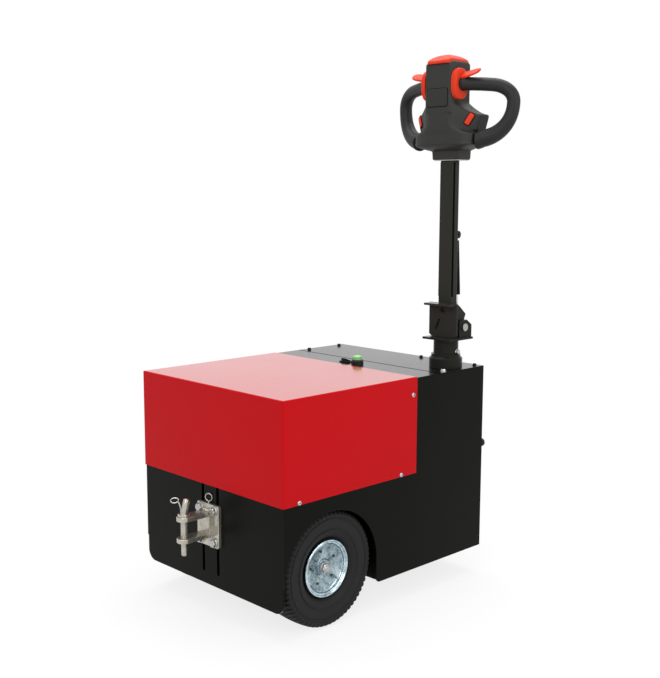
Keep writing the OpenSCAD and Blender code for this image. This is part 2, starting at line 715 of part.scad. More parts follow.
module thumb_wheel() color(orange) {
  translate([head_w / 2 + run_gap, root_y, root_z]) rotate([0, 90, 0]) rotate_extrude()
    polygon([[grip_d / 2 + thumb_gap, 0], [thumb_d / 2 - 3, 0], [thumb_d / 2, 3], [thumb_d / 2, thumb_t - 4],
      [thumb_d / 2 - 5, thumb_t], [grip_d / 2 + thumb_gap, thumb_t]]);
  intersection() {
    translate([0, root_y - paddle_w, root_z + grip_d / 2 + thumb_gap + 0.5]) plate_xz(2 * paddle_w)
      polygon([[root_x - 5, 0], [root_x - 5, paddle_t + 3], [root_x + 14, paddle_t + 1],
        [paddle_reach - 4, paddle_t + 4], [paddle_reach, paddle_t], [paddle_reach - 3, 3], [root_x + 14, 0]]);
    translate([0, root_y, root_z]) linear_extrude(thumb_d) union() {
      translate([0, -paddle_w / 2]) square([paddle_reach - paddle_w / 2, paddle_w]);
      translate([paddle_reach - paddle_w / 2, 0]) circle(d = paddle_w);
    }
  }
}
module thumb_wheel_right() at_post() thumb_wheel();
module thumb_wheel_left() at_post() mirror([1, 0, 0]) thumb_wheel();

// Drive wheels
module on_axle(x) translate([x, wheel_y, wheel_z]) rotate([0, 90, 0]) children();
rim_w = 62;
rim_seat_r = rim_d / 2 - 12;
rim_t = 3;
hub_r = 20;
bead_gap = 0.3;
// Half section of the rim: hub, dished disc and a rolled flange on each side
module rim_2d() {
  translate([axle_d / 2 + run_gap, -rim_w / 2 - 2]) square([hub_r - axle_d / 2 - run_gap, rim_w + 2]);
  translate([hub_r - 1, -4]) square([rim_seat_r - rim_t - hub_r + 2, 6]);
  translate([rim_seat_r - rim_t, -rim_w / 2]) square([rim_t, rim_w]);
  for (s = [-1, 1]) {
    translate([rim_seat_r - eps, s > 0 ? rim_w / 2 - rim_t : -rim_w / 2])
      square([rim_d / 2 - rim_seat_r - 3, rim_t]);
    translate([rim_d / 2 - 4, s * (rim_w / 2 - 1)]) circle(r = 4, $fn = 24);
  }
}
module rim() color(zinc) on_axle(wheel_x) rotate_extrude() rim_2d();
bead_w = rim_w - 2 * rim_t - 2 * bead_gap - 6;
shoulder_r = 22;
wall_r = 26;
crown_r = 112;
tread_drop = 3;
flange_room = 2;
// Half section of the tyre: bead, bulged walls, round shoulders and a crowned tread
module tyre_2d() intersection() {
  union() {
    for (s = [-1, 1]) {
      translate([wheel_d / 2 - tread_drop - shoulder_r, s * (tyre_w / 2 - shoulder_r)])
        circle(r = shoulder_r, $fn = 48);
      translate([rim_d / 2 + flange_room + wall_r, s * (tyre_w / 2 - wall_r)]) circle(r = wall_r, $fn = 48);
    }
    translate([rim_seat_r + bead_gap, -bead_w / 2])
      square([wheel_d / 2 - rim_seat_r - bead_gap - shoulder_r - tread_drop, bead_w]);
    translate([rim_d / 2 + wall_r, -tyre_w / 2 + shoulder_r])
      square([wheel_d / 2 - rim_d / 2 - wall_r, tyre_w - 2 * shoulder_r]);
  }
  translate([wheel_d / 2 - crown_r, 0]) circle(r = crown_r, $fn = 128);
}
module tyre() color(rubber) on_axle(wheel_x) rotate_extrude() tyre_2d();
module rim_right() rim();
module rim_left() mirror([1, 0, 0]) rim();
module tyre_right() tyre();
module tyre_left() mirror([1, 0, 0]) tyre();

// The gear housing clears the floor pan, and the motor and bay flanges stay inside its circle
gear_gap = 3;
gear_r = wheel_z - floor_top - gear_gap;
gear_w = 70;
motor_step = 6;
motor_d = 2 * (gear_r - motor_step);
// Distance of the motor's end from the tiller end
motor_end = 300;
motor_l = body_l - wheel_y - motor_end;
axle_tube_d = 56;
flange_step = 8;
axle_flange_d = 2 * (gear_r - flange_step);
axle_flange_t = 10;
stub_out = wheel_x + rim_w / 2 + 8;
module drive_axle() color(dark_grey) {
  on_axle(-bay_x + sheet_t) cylinder(d = axle_tube_d, h = 2 * (bay_x - sheet_t));
  both_sides() on_axle(bay_x - sheet_t - axle_flange_t) cylinder(d = axle_flange_d, h = axle_flange_t);
  both_sides() on_axle(bay_x - sheet_t - 1) cylinder(d = axle_d, h = stub_out - bay_x + sheet_t + 1);
  on_axle(-gear_w / 2) cylinder(r = gear_r, h = gear_w);
  translate([0, wheel_y, wheel_z]) rotate([-90, 0, 0]) cylinder(d = motor_d, h = motor_l);
}

// Steered wheel
steer_z = steer_d / 2;
leg_in = steer_w / 2 + fork_gap;
leg_t = 8;
crown_z = steer_d + 14;
crown_t = 10;
crown_l = 68;
thrust_t = 12;
boss_z = crown_z + crown_t + thrust_t + run_gap;
boss_h = 30;
bridge_l = 110;
bridge_t = 6;
steer_axle_d = 20;
module steer_bridge() color(black) difference() {
  union() {
    translate([-inner_w, steer_y - bridge_l / 2, boss_z + boss_h / 2]) cube([2 * inner_w, bridge_l,
      bridge_t]);
    both_sides() translate([inner_w - bridge_t, steer_y - bridge_l / 2, boss_z]) cube([bridge_t,
      bridge_l, boss_h / 2 + eps]);
    translate([0, steer_y, boss_z]) cylinder(d = stem_d + 40, h = boss_h);
  }
  translate([0, steer_y, boss_z - 1]) cylinder(d = stem_d + 2 * run_gap, h = boss_h + 2);
}
module steer_fork() color(black) translate([0, steer_y, 0]) difference() {
  union() {
    translate([-leg_in - leg_t, -crown_l / 2, crown_z]) cube([2 * (leg_in + leg_t), crown_l, crown_t]);
    both_sides() translate([leg_in, 0, 0]) plate_yz(leg_t) union() {
      translate([-20, steer_z]) square([40, crown_z - steer_z + eps]);
      translate([0, steer_z]) circle(r = 20);
    }
    translate([0, 0, crown_z + crown_t - eps]) cylinder(d = stem_d + 22, h = thrust_t + eps);
    translate([0, 0, crown_z]) cylinder(d = stem_d, h = crown_t + thrust_t + boss_h + 14);
    translate([0, 0, boss_z + boss_h + run_gap]) cylinder(d = stem_d + 14, h = 8);
  }
  translate([-leg_in - leg_t - 1, 0, steer_z]) rotate([0, 90, 0])
    cylinder(d = steer_axle_d + 2 * pin_gap, h = 2 * (leg_in + leg_t) + 2);
}
module fork_axle() color(zinc) translate([0, steer_y, steer_z]) {
  rotate([0, 90, 0]) translate([0, 0, -leg_in - leg_t - 4]) cylinder(d = steer_axle_d,
    h = 2 * (leg_in + leg_t + 4));
  both_sides() translate([leg_in + leg_t, 0, 0]) rotate([0, 90, 0]) cylinder(d = 32, h = 8);
}
module on_steer_axle() translate([0, steer_y, steer_z]) rotate([0, 90, 0]) children();
steer_tyre_h = 30;
steer_rim_r = steer_d / 2 - steer_tyre_h;
module front_rim() color(zinc) on_steer_axle() rotate_extrude() union() {
  translate([steer_axle_d / 2 + run_gap, -leg_in + 1]) square([14, 2 * leg_in - 2]);
  translate([steer_axle_d / 2 + 10, -5]) square([steer_rim_r - steer_axle_d / 2 - 12, 10]);
  translate([steer_rim_r - 6, -steer_w / 2 + 2]) square([6, steer_w - 4]);
}
module front_tyre() color(rubber) on_steer_axle() rotate_extrude() union() {
  translate([steer_rim_r + bead_gap, -steer_w / 2]) square([steer_d / 2 - steer_rim_r - bead_gap - 8,
    steer_w]);
  translate([steer_rim_r + bead_gap, -steer_w / 2 + 8]) square([steer_d / 2 - steer_rim_r - bead_gap,
    steer_w - 16]);
  for (s = [-1, 1]) translate([steer_d / 2 - 8, s * (steer_w / 2 - 8)]) circle(r = 8);
}

in_frame() tow_end_plate();
in_frame() side_plate_left();
in_frame() side_plate_right();
in_frame() tiller_end_plate();
in_frame() floor_pan();
in_frame() wheel_bays();
in_frame() battery_tray();
in_frame() battery_pack();
in_frame() drive_axle();
in_frame() steer_bridge();
in_frame() control_strip();
in_frame() deck_cover();
in_frame() hood();
in_frame() post_collar();
in_frame() start_button();
in_frame() rocker_switch();
in_frame() charge_socket();
in_frame() latch_knob();
in_frame() hitch_plate();
in_frame() hitch_jaw();
in_frame() tow_pin();
in_frame() lynch_pins();
in_frame() rim_left();
in_frame() tyre_left();
in_frame() rim_right();
in_frame() tyre_right();
in_frame() post_tube();
in_frame() tilt_base();
in_frame() hinge_pins();
in_frame() column();
in_frame() column_foot();
in_frame() head_shell();
in_frame() head_panel();
in_frame() belly_button();
in_frame() side_buttons();
in_frame() thumb_wheel_left();
in_frame() thumb_wheel_right();
in_frame() handle_left();
in_frame() handle_right();
in_frame() gas_cylinder();
in_frame() gas_rod();
in_frame() steer_fork();
in_frame() fork_axle();
in_frame() front_rim();
in_frame() front_tyre();
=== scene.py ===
import json
import math
import bmesh
import bpy
import numpy as np
from mathutils import Matrix, Vector


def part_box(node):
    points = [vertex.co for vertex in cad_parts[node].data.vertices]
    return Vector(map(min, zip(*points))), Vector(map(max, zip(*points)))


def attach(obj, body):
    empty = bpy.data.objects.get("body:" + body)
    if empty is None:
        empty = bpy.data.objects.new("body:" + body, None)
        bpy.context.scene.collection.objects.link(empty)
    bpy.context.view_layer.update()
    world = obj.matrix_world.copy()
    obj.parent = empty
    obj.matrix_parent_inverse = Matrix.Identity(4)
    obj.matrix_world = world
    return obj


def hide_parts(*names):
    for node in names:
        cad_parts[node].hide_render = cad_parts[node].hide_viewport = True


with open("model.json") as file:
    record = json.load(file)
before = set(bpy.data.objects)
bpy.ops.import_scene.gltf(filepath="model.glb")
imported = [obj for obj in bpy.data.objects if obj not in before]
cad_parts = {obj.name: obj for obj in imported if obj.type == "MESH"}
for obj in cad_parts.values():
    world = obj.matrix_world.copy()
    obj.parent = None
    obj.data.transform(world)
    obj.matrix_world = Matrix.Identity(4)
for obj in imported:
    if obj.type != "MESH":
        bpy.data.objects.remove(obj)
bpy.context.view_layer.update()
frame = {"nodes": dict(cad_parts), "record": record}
scene = bpy.context.scene
scene.view_settings.view_transform = "Standard"
nodes = frame["nodes"]
sides = (("left", -1), ("right", 1))
toHitch, upward = (0, -1, 0), (0, 0, 1)
print("stage 1: frame loaded,", len(nodes), "nodes")


def middleOf(node):
    low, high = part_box(node)
    return np.array([(low.x + high.x) / 2, (low.y + high.y) / 2, (low.z + high.z) / 2])


# The tug's own lines, read off the solids: centre plane, hitch face and tiller post axis, in metres
sideLow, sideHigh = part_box("side_plate_left")[0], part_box("side_plate_right")[1]
centreX = (sideLow.x + sideHigh.x) / 2
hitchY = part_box("tow_end_plate")[0].y
postX, postY = middleOf("post_collar")[:2]


def onTug(points):  # millimetres from the centre plane, the hitch face and the floor, to metres in the frame
    return np.asarray(points, float) / 1000 + np.array([centreX, hitchY, 0.0])


def onPost(points):  # millimetres from the tiller post's axis and the floor, to metres in the frame
    return np.asarray(points, float) / 1000 + np.array([postX, postY, 0.0])


# Shader maths
class Wire:  # a socket that takes part in Python sums
    def __init__(self, finish, socket):
        self.finish, self.socket = finish, socket

    def sum(self, kind, a, b):
        return self.finish.add("ShaderNodeMath", {"operation": kind}, {0: a, 1: b})

    def __add__(self, other):
        return self.sum("ADD", self, other)

    def __sub__(self, other):
        return self.sum("SUBTRACT", self, other)

    def __rsub__(self, other):
        return self.sum("SUBTRACT", other, self)

    def __mul__(self, other):
        return self.sum("MULTIPLY", self, other)

    def __gt__(self, other):
        return self.sum("GREATER_THAN", self, other)

    __radd__ = __add__

    def held(self):  # kept between 0 and 1
        return self.finish.add("ShaderNodeClamp", {}, {0: self})


class Finish:  # a material's nodes, or the world's, and the way more of them get in
    def __init__(self, name, owner=None):
        self.material = owner or bpy.data.materials.new(name)
        self.material.use_nodes = True
        self.tree = self.material.node_tree
        self.shader = self.tree.nodes["Background" if owner else "Principled BSDF"]

    def add(self, kind, settings={}, sockets={}, out=0):
        node = self.tree.nodes.new(kind)
        for key, value in settings.items():
            setattr(node, key, value)
        for key, value in sockets.items():
            self.put(node.inputs[key], value)
        return Wire(self, node.outputs[out])

    def put(self, socket, value):
        if isinstance(value, Wire):
            self.tree.links.new(value.socket, socket)
        else:
            colour = isinstance(value, tuple) and len(value) == 3 and socket.type == "RGBA"
            socket.default_value = (*value, 1) if colour else value

    def shade(self, **sockets):  # Base_Color=..., Roughness=...
        for key, value in sockets.items():
            self.put(self.shader.inputs[key.replace("_", " ")], value)
        return self.material

    def place(self):  # Object coordinates
        return self.add("ShaderNodeTexCoord", out=3)

    def noise(self, scale, detail=3.0, rough=0.5):
        sockets = {"Vector": self.place(), "Scale": scale, "Detail": detail, "Roughness": rough}
        return self.add("ShaderNodeTexNoise", {}, sockets)

    def cells(self, scale, out=0):
        return self.add("ShaderNodeTexVoronoi", {}, {"Vector": self.place(), "Scale": scale}, out)

    def vector(self, kind, sockets, out=0):
        return self.add("ShaderNodeVectorMath", {"operation": kind}, sockets, out)

    def tint(self, share, a, b):
        return self.add("ShaderNodeMix", {"data_type": "RGBA"}, {0: share, 6: a, 7: b}, 2)

    def bump(self, height, depth, strength, edge=0.0):  # edge rounds the look of sharp sheet edges
        sockets = {"Height": height, "Distance": depth, "Strength": strength}
        if edge:
            sockets["Normal"] = self.add("ShaderNodeBevel", {"samples": 6}, {"Radius": edge})
        return self.add("ShaderNodeBump", {}, sockets)

    def plainly(self):  # 1 for the rays that see floor and sky as plain white
        rays = self.tree.nodes.new("ShaderNodeLightPath").outputs
        kinds = ("Camera", "Glossy", "Transmission")
        seen, gloss, through = [Wire(self, rays[f"Is {kind} Ray"]) for kind in kinds]
        return seen + gloss + through > 0.5

    def glance(self, start, end):  # 0 until the surface is seen at a slant, 1 where it is seen along itself
        slant = self.add("ShaderNodeLayerWeight", {}, {"Blend": 0.5}, 1)
        return ((slant - start) * (1 / (end - start))).held()


def powderCoat(name, dark, light, gloss, spread, sheen, edge=0.0011):
    # colour drifts a little, fine orange peel in the gloss, and a sheen where it is seen along the sheet
    f = Finish(name)
    drift, peel, speck = f.noise(5.0, 4.0), f.noise(520.0, 2.0), f.noise(1900.0, 1.0)
    f.shade(Specular_IOR_Level=0.06, Coat_IOR=2.0, Coat_Roughness=0.12)
    return f.shade(Base_Color=f.tint(drift * 0.7 + speck * 0.3, dark, light),
                   Roughness=gloss + (drift - 0.5) * spread + (speck - 0.5) * 0.06,
                   Coat_Weight=f.glance(0.55, 0.80) * (sheen + (drift - 0.5) * 0.3),
                   Normal=f.bump(peel + speck * 0.35, 0.00010, 0.30, edge))


def zincPlate(name, cool, warm, gloss, grain, metal=1.0, edge=0.0008):
    # plated steel: cloudy patches, small crystals, faint scuffs
    f = Finish(name)
    cloud, scuff = f.noise(26.0, 5.0, 0.6), f.noise(160.0, 6.0, 0.7)
    crystal = f.cells(grain)
    return f.shade(Base_Color=f.tint((cloud * 1.5 - 0.35 + crystal * 0.5).held(), cool, warm), Metallic=metal,
                   Roughness=gloss + (cloud - 0.5) * 0.18 + (scuff - 0.5) * 0.22,
                   Normal=f.bump(crystal * 0.3 + scuff, 0.00012, 0.3, edge))


def spangledZinc(name, cool, deep, gloss, centre, dish):
    # galvanised pressing: large flakes that each lean a little, dull spots, and painted shade that darkens
    # the dish inside the edge, leaving the rolled flange lighter as a painted highlight
    f = Finish(name)
    flake, small = f.cells(95.0, 1), f.cells(330.0, 1)
    cloud, spot = f.noise(30.0, 5.0, 0.65), f.noise(150.0, 3.0, 0.6)
    lean = f.add("ShaderNodeSeparateColor", {}, {0: flake})
    leanSmall = f.add("ShaderNodeSeparateColor", {}, {0: small})
    away = f.vector("SUBTRACT", {0: f.place(), 1: centre})
    across = f.vector("MULTIPLY", {0: away, 1: (0.0, 1.0, 1.0)})
    # painted shade: 1 inside the dish's radius, where the base colour is pulled towards the deep tone
    paintedDishShade = ((dish - f.vector("LENGTH", {0: across}, 1)) * 400.0).held()
    patch = ((cloud - 0.5) * 3.4 + 0.5).held()
    dull = ((spot - 0.58) * 6).held()
    share = (lean * 0.22 + leanSmall * 0.18 + patch * 0.5 + paintedDishShade * 0.34 - 0.16 + dull * 0.3).held()
    return f.shade(Base_Color=f.tint(share, cool, deep), Metallic=1.0,
                   Roughness=gloss + (lean - 0.5) * 0.12 + (cloud - 0.5) * 0.20,
                   Normal=f.bump(lean * 0.6 + cloud + leanSmall * 0.3, 0.0013, 0.4))


def mouldedPlastic(name, dark, light, gloss, grainDepth, edge=0.0, specular=0.22):  # fine spark-eroded grain
    f = Finish(name)
    grain, drift = f.noise(1500.0, 2.0), f.noise(22.0, 3.0)
    f.shade(Specular_IOR_Level=specular)
    return f.shade(Base_Color=f.tint(drift * 0.6 + grain * 0.4, dark, light),
                   Roughness=gloss + (drift - 0.5) * 0.12 + (grain - 0.5) * 0.12,
                   Normal=f.bump(grain, grainDepth, 0.4, edge))


def rubber(name, dark, light, gloss):  # bloom in patches, small pits
    f = Finish(name)
    bloom, pit = f.noise(34.0, 5.0, 0.65), f.noise(1100.0, 2.0)
    f.shade(Specular_IOR_Level=0.2)
    return f.shade(Base_Color=f.tint(bloom, dark, light), Roughness=gloss + (bloom - 0.5) * 0.16,
                   Normal=f.bump(pit, 0.0002, 0.35))


def startButtonFinish(bezelHigh=0.0111):  # black bezel below, lit green dome above
    f = Finish("startButton")
    height = f.add("ShaderNodeSeparateXYZ", {}, {0: f.place()}, 2)
    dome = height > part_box("start_button")[0].z + bezelHigh
    drift = f.noise(180.0, 2.0)
    green = f.tint(drift, (0.20, 0.50, 0.16), (0.30, 0.64, 0.24))
    f.shade(Specular_IOR_Level=0.3)
    return f.shade(Base_Color=f.tint(dome, (0.006, 0.006, 0.006), green),
                   Roughness=0.42 - dome * 0.22 + (drift - 0.5) * 0.05,
                   Normal=f.bump(f.noise(1400.0, 2.0) * (1 - dome), 0.00008, 0.4))


blackCoat = powderCoat("blackCoat", (0.0022, 0.0024, 0.0016), (0.0036, 0.0038, 0.0026), 0.3, 0.1, 0.58)
tillerCoat = powderCoat("tillerCoat", (0.0125, 0.013, 0.0105), (0.0185, 0.019, 0.0155), 0.36, 0.12, 0.55)
columnCoat = powderCoat("columnCoat", (0.0215, 0.022, 0.018), (0.029, 0.0295, 0.0245), 0.36, 0.12, 0.55)
redCoat = powderCoat("redCoat", (0.41, 0.002, 0.0045), (0.47, 0.003, 0.0062), 0.3, 0.08, 0.92)
axleCasting = powderCoat("axleCasting", (0.03, 0.03, 0.03), (0.055, 0.053, 0.05), 0.55, 0.2, 0.3)
hitchZinc = zincPlate("hitchZinc", (0.68, 0.65, 0.58), (0.3, 0.28, 0.23), 0.24, 420.0, 0.82)
casterZinc = zincPlate("casterZinc", (0.55, 0.6, 0.62), (0.3, 0.33, 0.35), 0.32, 300.0)
pinSteel = zincPlate("pinSteel", (0.62, 0.62, 0.61), (0.36, 0.36, 0.35), 0.28, 500.0)
rodChrome = zincPlate("rodChrome", (0.78, 0.78, 0.78), (0.66, 0.66, 0.67), 0.14, 700.0)
rimZinc = spangledZinc("rimZinc", (0.66, 0.8, 0.86), (0.045, 0.085, 0.105), 0.2,
                       tuple(middleOf("rim_right")), 0.0545)
headPlastic = mouldedPlastic("headPlastic", (0.02, 0.0208, 0.0182), (0.0275, 0.0284, 0.0252), 0.5, 0.00016)
panelPlastic = mouldedPlastic("panelPlastic", (0.017, 0.0176, 0.0156), (0.023, 0.0236, 0.0212),
                              0.42, 0.00008)
switchBlack = mouldedPlastic("switchBlack", (0.006, 0.006, 0.006), (0.01, 0.01, 0.01),
                             0.36, 0.0001, edge=0.0007)
# near-black without gloss: painted shade for the gaps round the head's panel and buttons, the deck seam and
# the column's grooves
gapShade = mouldedPlastic("gapShade", (0.0015, 0.0015, 0.0015), (0.003, 0.003, 0.003),
                          0.85, 0.0001, specular=0.02)
orangePlastic = mouldedPlastic("orangePlastic", (0.54, 0.032, 0.0105), (0.64, 0.043, 0.0145),
                               0.36, 0.00008, specular=0.1)
batteryCase = mouldedPlastic("batteryCase", (0.03, 0.03, 0.032), (0.04, 0.04, 0.042), 0.55, 0.00015)
gripRubber = rubber("gripRubber", (0.012, 0.012, 0.012), (0.019, 0.019, 0.0188), 0.5)
tyreRubber = rubber("tyreRubber", (0.0065, 0.0065, 0.0065), (0.0145, 0.0145, 0.0145), 0.64)
startGreen = startButtonFinish()

slotFinish = {"black_coat": blackCoat, "red_coat": redCoat, "battery_case": batteryCase,
              "axle_casting": axleCasting, "green_dome": startGreen, "switch_black": switchBlack,
              "hitch_zinc": hitchZinc, "rim_zinc": casterZinc, "tyre_rubber": tyreRubber,
              "pin_steel": pinSteel, "head_plastic": headPlastic, "panel_plastic": panelPlastic,
              "orange_plastic": orangePlastic, "grip_rubber": gripRubber, "rod_chrome": rodChrome}
nodeFinish = {"column": columnCoat, "column_foot": columnCoat,  # the tiller's coat is greyer than the box's
              "tilt_base": tillerCoat, "post_tube": tillerCoat, "post_collar": tillerCoat}
for part in frame["record"]["subparts"]:
    mesh = nodes[part["node"]].data
    mesh.materials.clear()
    mesh.materials.append(nodeFinish.get(part["node"], slotFinish[part["material_slot"]]))
slotOf = {finish.name: slot for slot, finish in slotFinish.items()}
slotOf.update({"rimZinc": "rim_zinc", "tillerCoat": "black_coat", "gapShade": "switch_black"})
print("stage 2: finishes on the solids")


# Surfaces
def quadFaces(rows, cols, closeRows, closeCols, start):  # faces of a grid, each way open or closed
    r = np.arange(rows if closeRows else rows - 1)[:, None]
    c = np.arange(cols if closeCols else cols - 1)[None, :]
    r2, c2 = (r + 1) % rows, (c + 1) % cols
    return np.stack([r * cols + c, r * cols + c2, r2 * cols + c2, r2 * cols + c], -1).reshape(-1, 4) + start


def meshOf(name, grids):  # grids: list of (points (rows, cols, 3) in metres, closeRows, closeCols)
    verts, faces, start = [], [], 0
    for points, closeRows, closeCols in grids:
        rows, cols = points.shape[:2]
        verts.append(points.reshape(-1, 3))
        faces.append(quadFaces(rows, cols, closeRows, closeCols, start))
        start += rows * cols
    mesh = bpy.data.meshes.new(name)
    mesh.from_pydata(np.concatenate(verts).tolist(), [], np.concatenate(faces).tolist())
    work = bmesh.new()  # closes seams and poles, then turns every face outwards
    work.from_mesh(mesh)
    bmesh.ops.remove_doubles(work, verts=work.verts, dist=1e-6)
    bmesh.ops.dissolve_degenerate(work, edges=work.edges, dist=1e-7)
    bmesh.ops.recalc_face_normals(work, faces=work.faces)
    work.to_mesh(mesh)
    work.free()
    return mesh


def addPiece(name, mesh, body, finish, replace=()):
    mesh.materials.clear()
    mesh.materials.append(finish)
    mesh.polygons.foreach_set("use_smooth", np.ones(len(mesh.polygons), bool))
    mesh.set_sharp_from_angle(angle=math.radians(42))
    mesh.update()
    piece = bpy.data.objects.new(name, mesh)
    scene.collection.objects.link(piece)
    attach(piece, body)
    if replace:
        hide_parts(*replace)


def makePiece(name, grids, body, finish, replace=()):
    addPiece(name, meshOf(name, grids), body, finish, replace)


def mix(a, b, t):
    return a + (b - a) * t


def fullTurn(count):  # angles round a circle
    return np.linspace(0, 2 * np.pi, count, endpoint=False)


def capped(points, firstEnd=True, lastEnd=True):  # a ring shrunk to a point closes each end of a grid
    def shut(ring):
        return (ring.mean(0) + (ring - ring.mean(0)) * 0.0001)[None]
    return np.concatenate([shut(points[0])] * firstEnd + [points] + [shut(points[-1])] * lastEnd)


def postLoft(points):  # rings in millimetres about the post's axis, closed at both ends
    return onPost(capped(points)), False, True


def spinAbout(profile, turns, axis):
    # (radius, along) pairs carried round an axis through the origin: radius times cos and sin of the turn
    turn = fullTurn(turns)[:, None]
    radius, along = np.asarray(profile, float).T
    a, b = radius * np.cos(turn), radius * np.sin(turn)
    flat = np.broadcast_to(along, a.shape)
    return np.stack({"x": (flat, a, b), "z": (a, b, flat)}[axis], -1)


def superRing(count, power):
    # superellipses, one row for each power: cos and sin of the turn, each to the power 2/power
    turn = fullTurn(count)[None, :]
    c, s = np.cos(turn), np.sin(turn)
    up = 2 / np.asarray(power, float).reshape(-1, 1)
    return np.sign(c) * np.abs(c) ** up, np.sign(s) * np.abs(s) ** up


def boxRing(count, halfA, halfB, corner):
    # rounded rectangles, one row for each size: a corner circle pushed out to each of the four corners
    turn = (np.arange(count)[None, :] + 0.5) * 2 * np.pi / count
    c, s = np.cos(turn), np.sin(turn)
    a, b, r = [np.asarray(v, float).reshape(-1, 1) for v in (halfA, halfB, corner)]
    return np.sign(c) * (a - r) + r * c, np.sign(s) * (b - r) + r * s


def facing(points, place, normal, up=None):
    # points made with +Z outwards are turned so that +Z runs along normal, then moved to place
    z = Vector(normal).normalized()
    if up is None:
        turn = np.array(z.to_track_quat("Z", "Y").to_matrix())
    else:
        x = Vector(up).cross(z).normalized()
        turn = np.array([x, z.cross(x), z]).T
    return np.asarray(points, float) @ turn.T + np.asarray(place, float)


def softPlate(place, normal, up, halfA, halfB, thick, corner, edge, sink=0.0005, crown=0.0):
    # a plate with a rounded rectangle's outline whose rim turns down along a quarter circle;
    # the middle may be crowned
    bend = np.linspace(0, 1, 6) * np.pi / 2
    inset = np.concatenate([edge * (1 - np.sin(bend)), [0.0]])[::-1]
    rise = np.concatenate([thick - edge + edge * np.cos(bend), [-sink]])[::-1]
    x, y = boxRing(32, halfA - inset, halfB - inset, np.maximum(corner - inset, 0.0001))
    inner = [0.75, 0.5, 0.25, 0.0001]
    shrink = np.array([1.0] * len(inset) + inner)[:, None]
    x, y = [np.vstack([v, np.tile(v[-1], (len(inner), 1))]) * shrink for v in (x, y)]
    z = np.concatenate([rise, [thick] * len(inner)])[:, None] + crown * (1 - shrink ** 2)
    points = np.stack([x, y, np.broadcast_to(z, x.shape)], -1)
    return facing(capped(points, True, False), place, normal, up), False, True


def hexRadius(turn):  # distance to a hexagon's side, as a share of its corner distance
    return math.cos(math.pi / 6) / np.cos((turn % (math.pi / 3)) - math.pi / 6)


def headRings(rows, size, height, place, normal, lift=0.0):
    # rings of a bolt's head: each row gives its share of the size, of the height, and of a hexagon's outline
    turn = fullTurn(36)[None, :]
    share, rise, toHex = np.array(rows).T[:, :, None]
    r = size * share * (1 - toHex + toHex * hexRadius(turn))
    z = np.broadcast_to(height * rise + lift, r.shape)
    return facing(np.stack([r * np.cos(turn), r * np.sin(turn), z], -1), place, normal), False, True


socketRows = [(0.0001, 0.25, 1), (0.4995, 0.25, 1), (0.5, 1.0, 1), (0.59, 1.0, 0), (0.72, 0.93, 0),
              (0.88, 0.74, 0), (0.97, 0.5, 0), (1.0, 0.2, 0), (1.0, -0.1, 0), (0.0001, -0.1, 0)]
hexRows = [(0.0001, 1.0, 0), (0.78, 1.0, 0), (0.86, 0.97, 0.3), (1.0, 0.8, 1), (1.0, -0.1, 1),
           (0.0001, -0.1, 1)]


def turned(profile, place, normal, turns):  # a closed profile of (radius, along) that stands on a face
    return facing(spinAbout(profile, turns, "z"), place, normal), True, False


def washerDisc(place, normal, inner, outer, thick):
    rim = outer - 0.0004
    profile = [(inner, 0), (inner, thick), (rim, thick), (outer, thick * 0.6), (outer, 0), (inner, 0)]
    return turned(profile, place, normal, 40)


def bolts(places, normal, s):  # hexagon heads on their washers
    heads = []
    for place in places:
        heads += [headRings(hexRows, s["corner"], s["height"], place, normal, s["lift"]),
                  washerDisc(place, normal, s["bore"], s["washer"], s["washerT"])]
    return heads


def drum(radius, low, high, edge=0.001):  # closed profile of a cylinder with turned edges
    core, rim = 0.00001, radius - edge
    return [(core, low), (rim, low), (radius, low + edge), (radius, high - edge), (rim, high), (core, high)]


def slab(outline, low, high, edge):
    # an outline in (x, y) carried up, its rims drawn in along a quarter circle at right angles to the outline
    along = np.roll(outline, -1, 0) - np.roll(outline, 1, 0)
    inward = np.stack([-along[:, 1], along[:, 0]], -1) / np.linalg.norm(along, axis=1, keepdims=True)
    bend = np.linspace(0, np.pi / 2, 5)
    inset = edge * (1 - np.sin(bend))
    rise = edge * (1 - np.cos(bend))
    inset, height = np.concatenate([inset, inset[::-1]]), np.concatenate([low + rise, high - rise[::-1]])
    flat = outline[None] + inward[None] * inset[:, None, None]
    return capped(np.concatenate([flat, np.broadcast_to(height[:, None, None], flat.shape[:2] + (1,))], -1))


def wireRing(place, axis, radius, wire):  # a round wire bent to a ring
    turn = fullTurn(14)
    profile = np.stack([radius + wire * np.cos(turn), wire * np.sin(turn)], -1)
    return facing(spinAbout(profile, 40, "z"), place, axis), True, True


def sweptTube(path, radius, count, normal):
    # a circle carried along a path: at each point two directions across it, one of them near the given normal
    path, normal = np.asarray(path, float), np.asarray(normal, float)
    along = np.gradient(path, axis=0)
    along /= np.linalg.norm(along, axis=1, keepdims=True)
    n = normal - (along @ normal)[:, None] * along
    n /= np.linalg.norm(n, axis=1, keepdims=True)
    b = np.cross(along, n)
    turn = fullTurn(count)
    r = np.broadcast_to(np.asarray(radius, float), (len(path),))[:, None, None]
    ring = np.cos(turn)[None, :, None] * b[:, None] + np.sin(turn)[None, :, None] * n[:, None]
    return capped(path[:, None] + r * ring), False, True


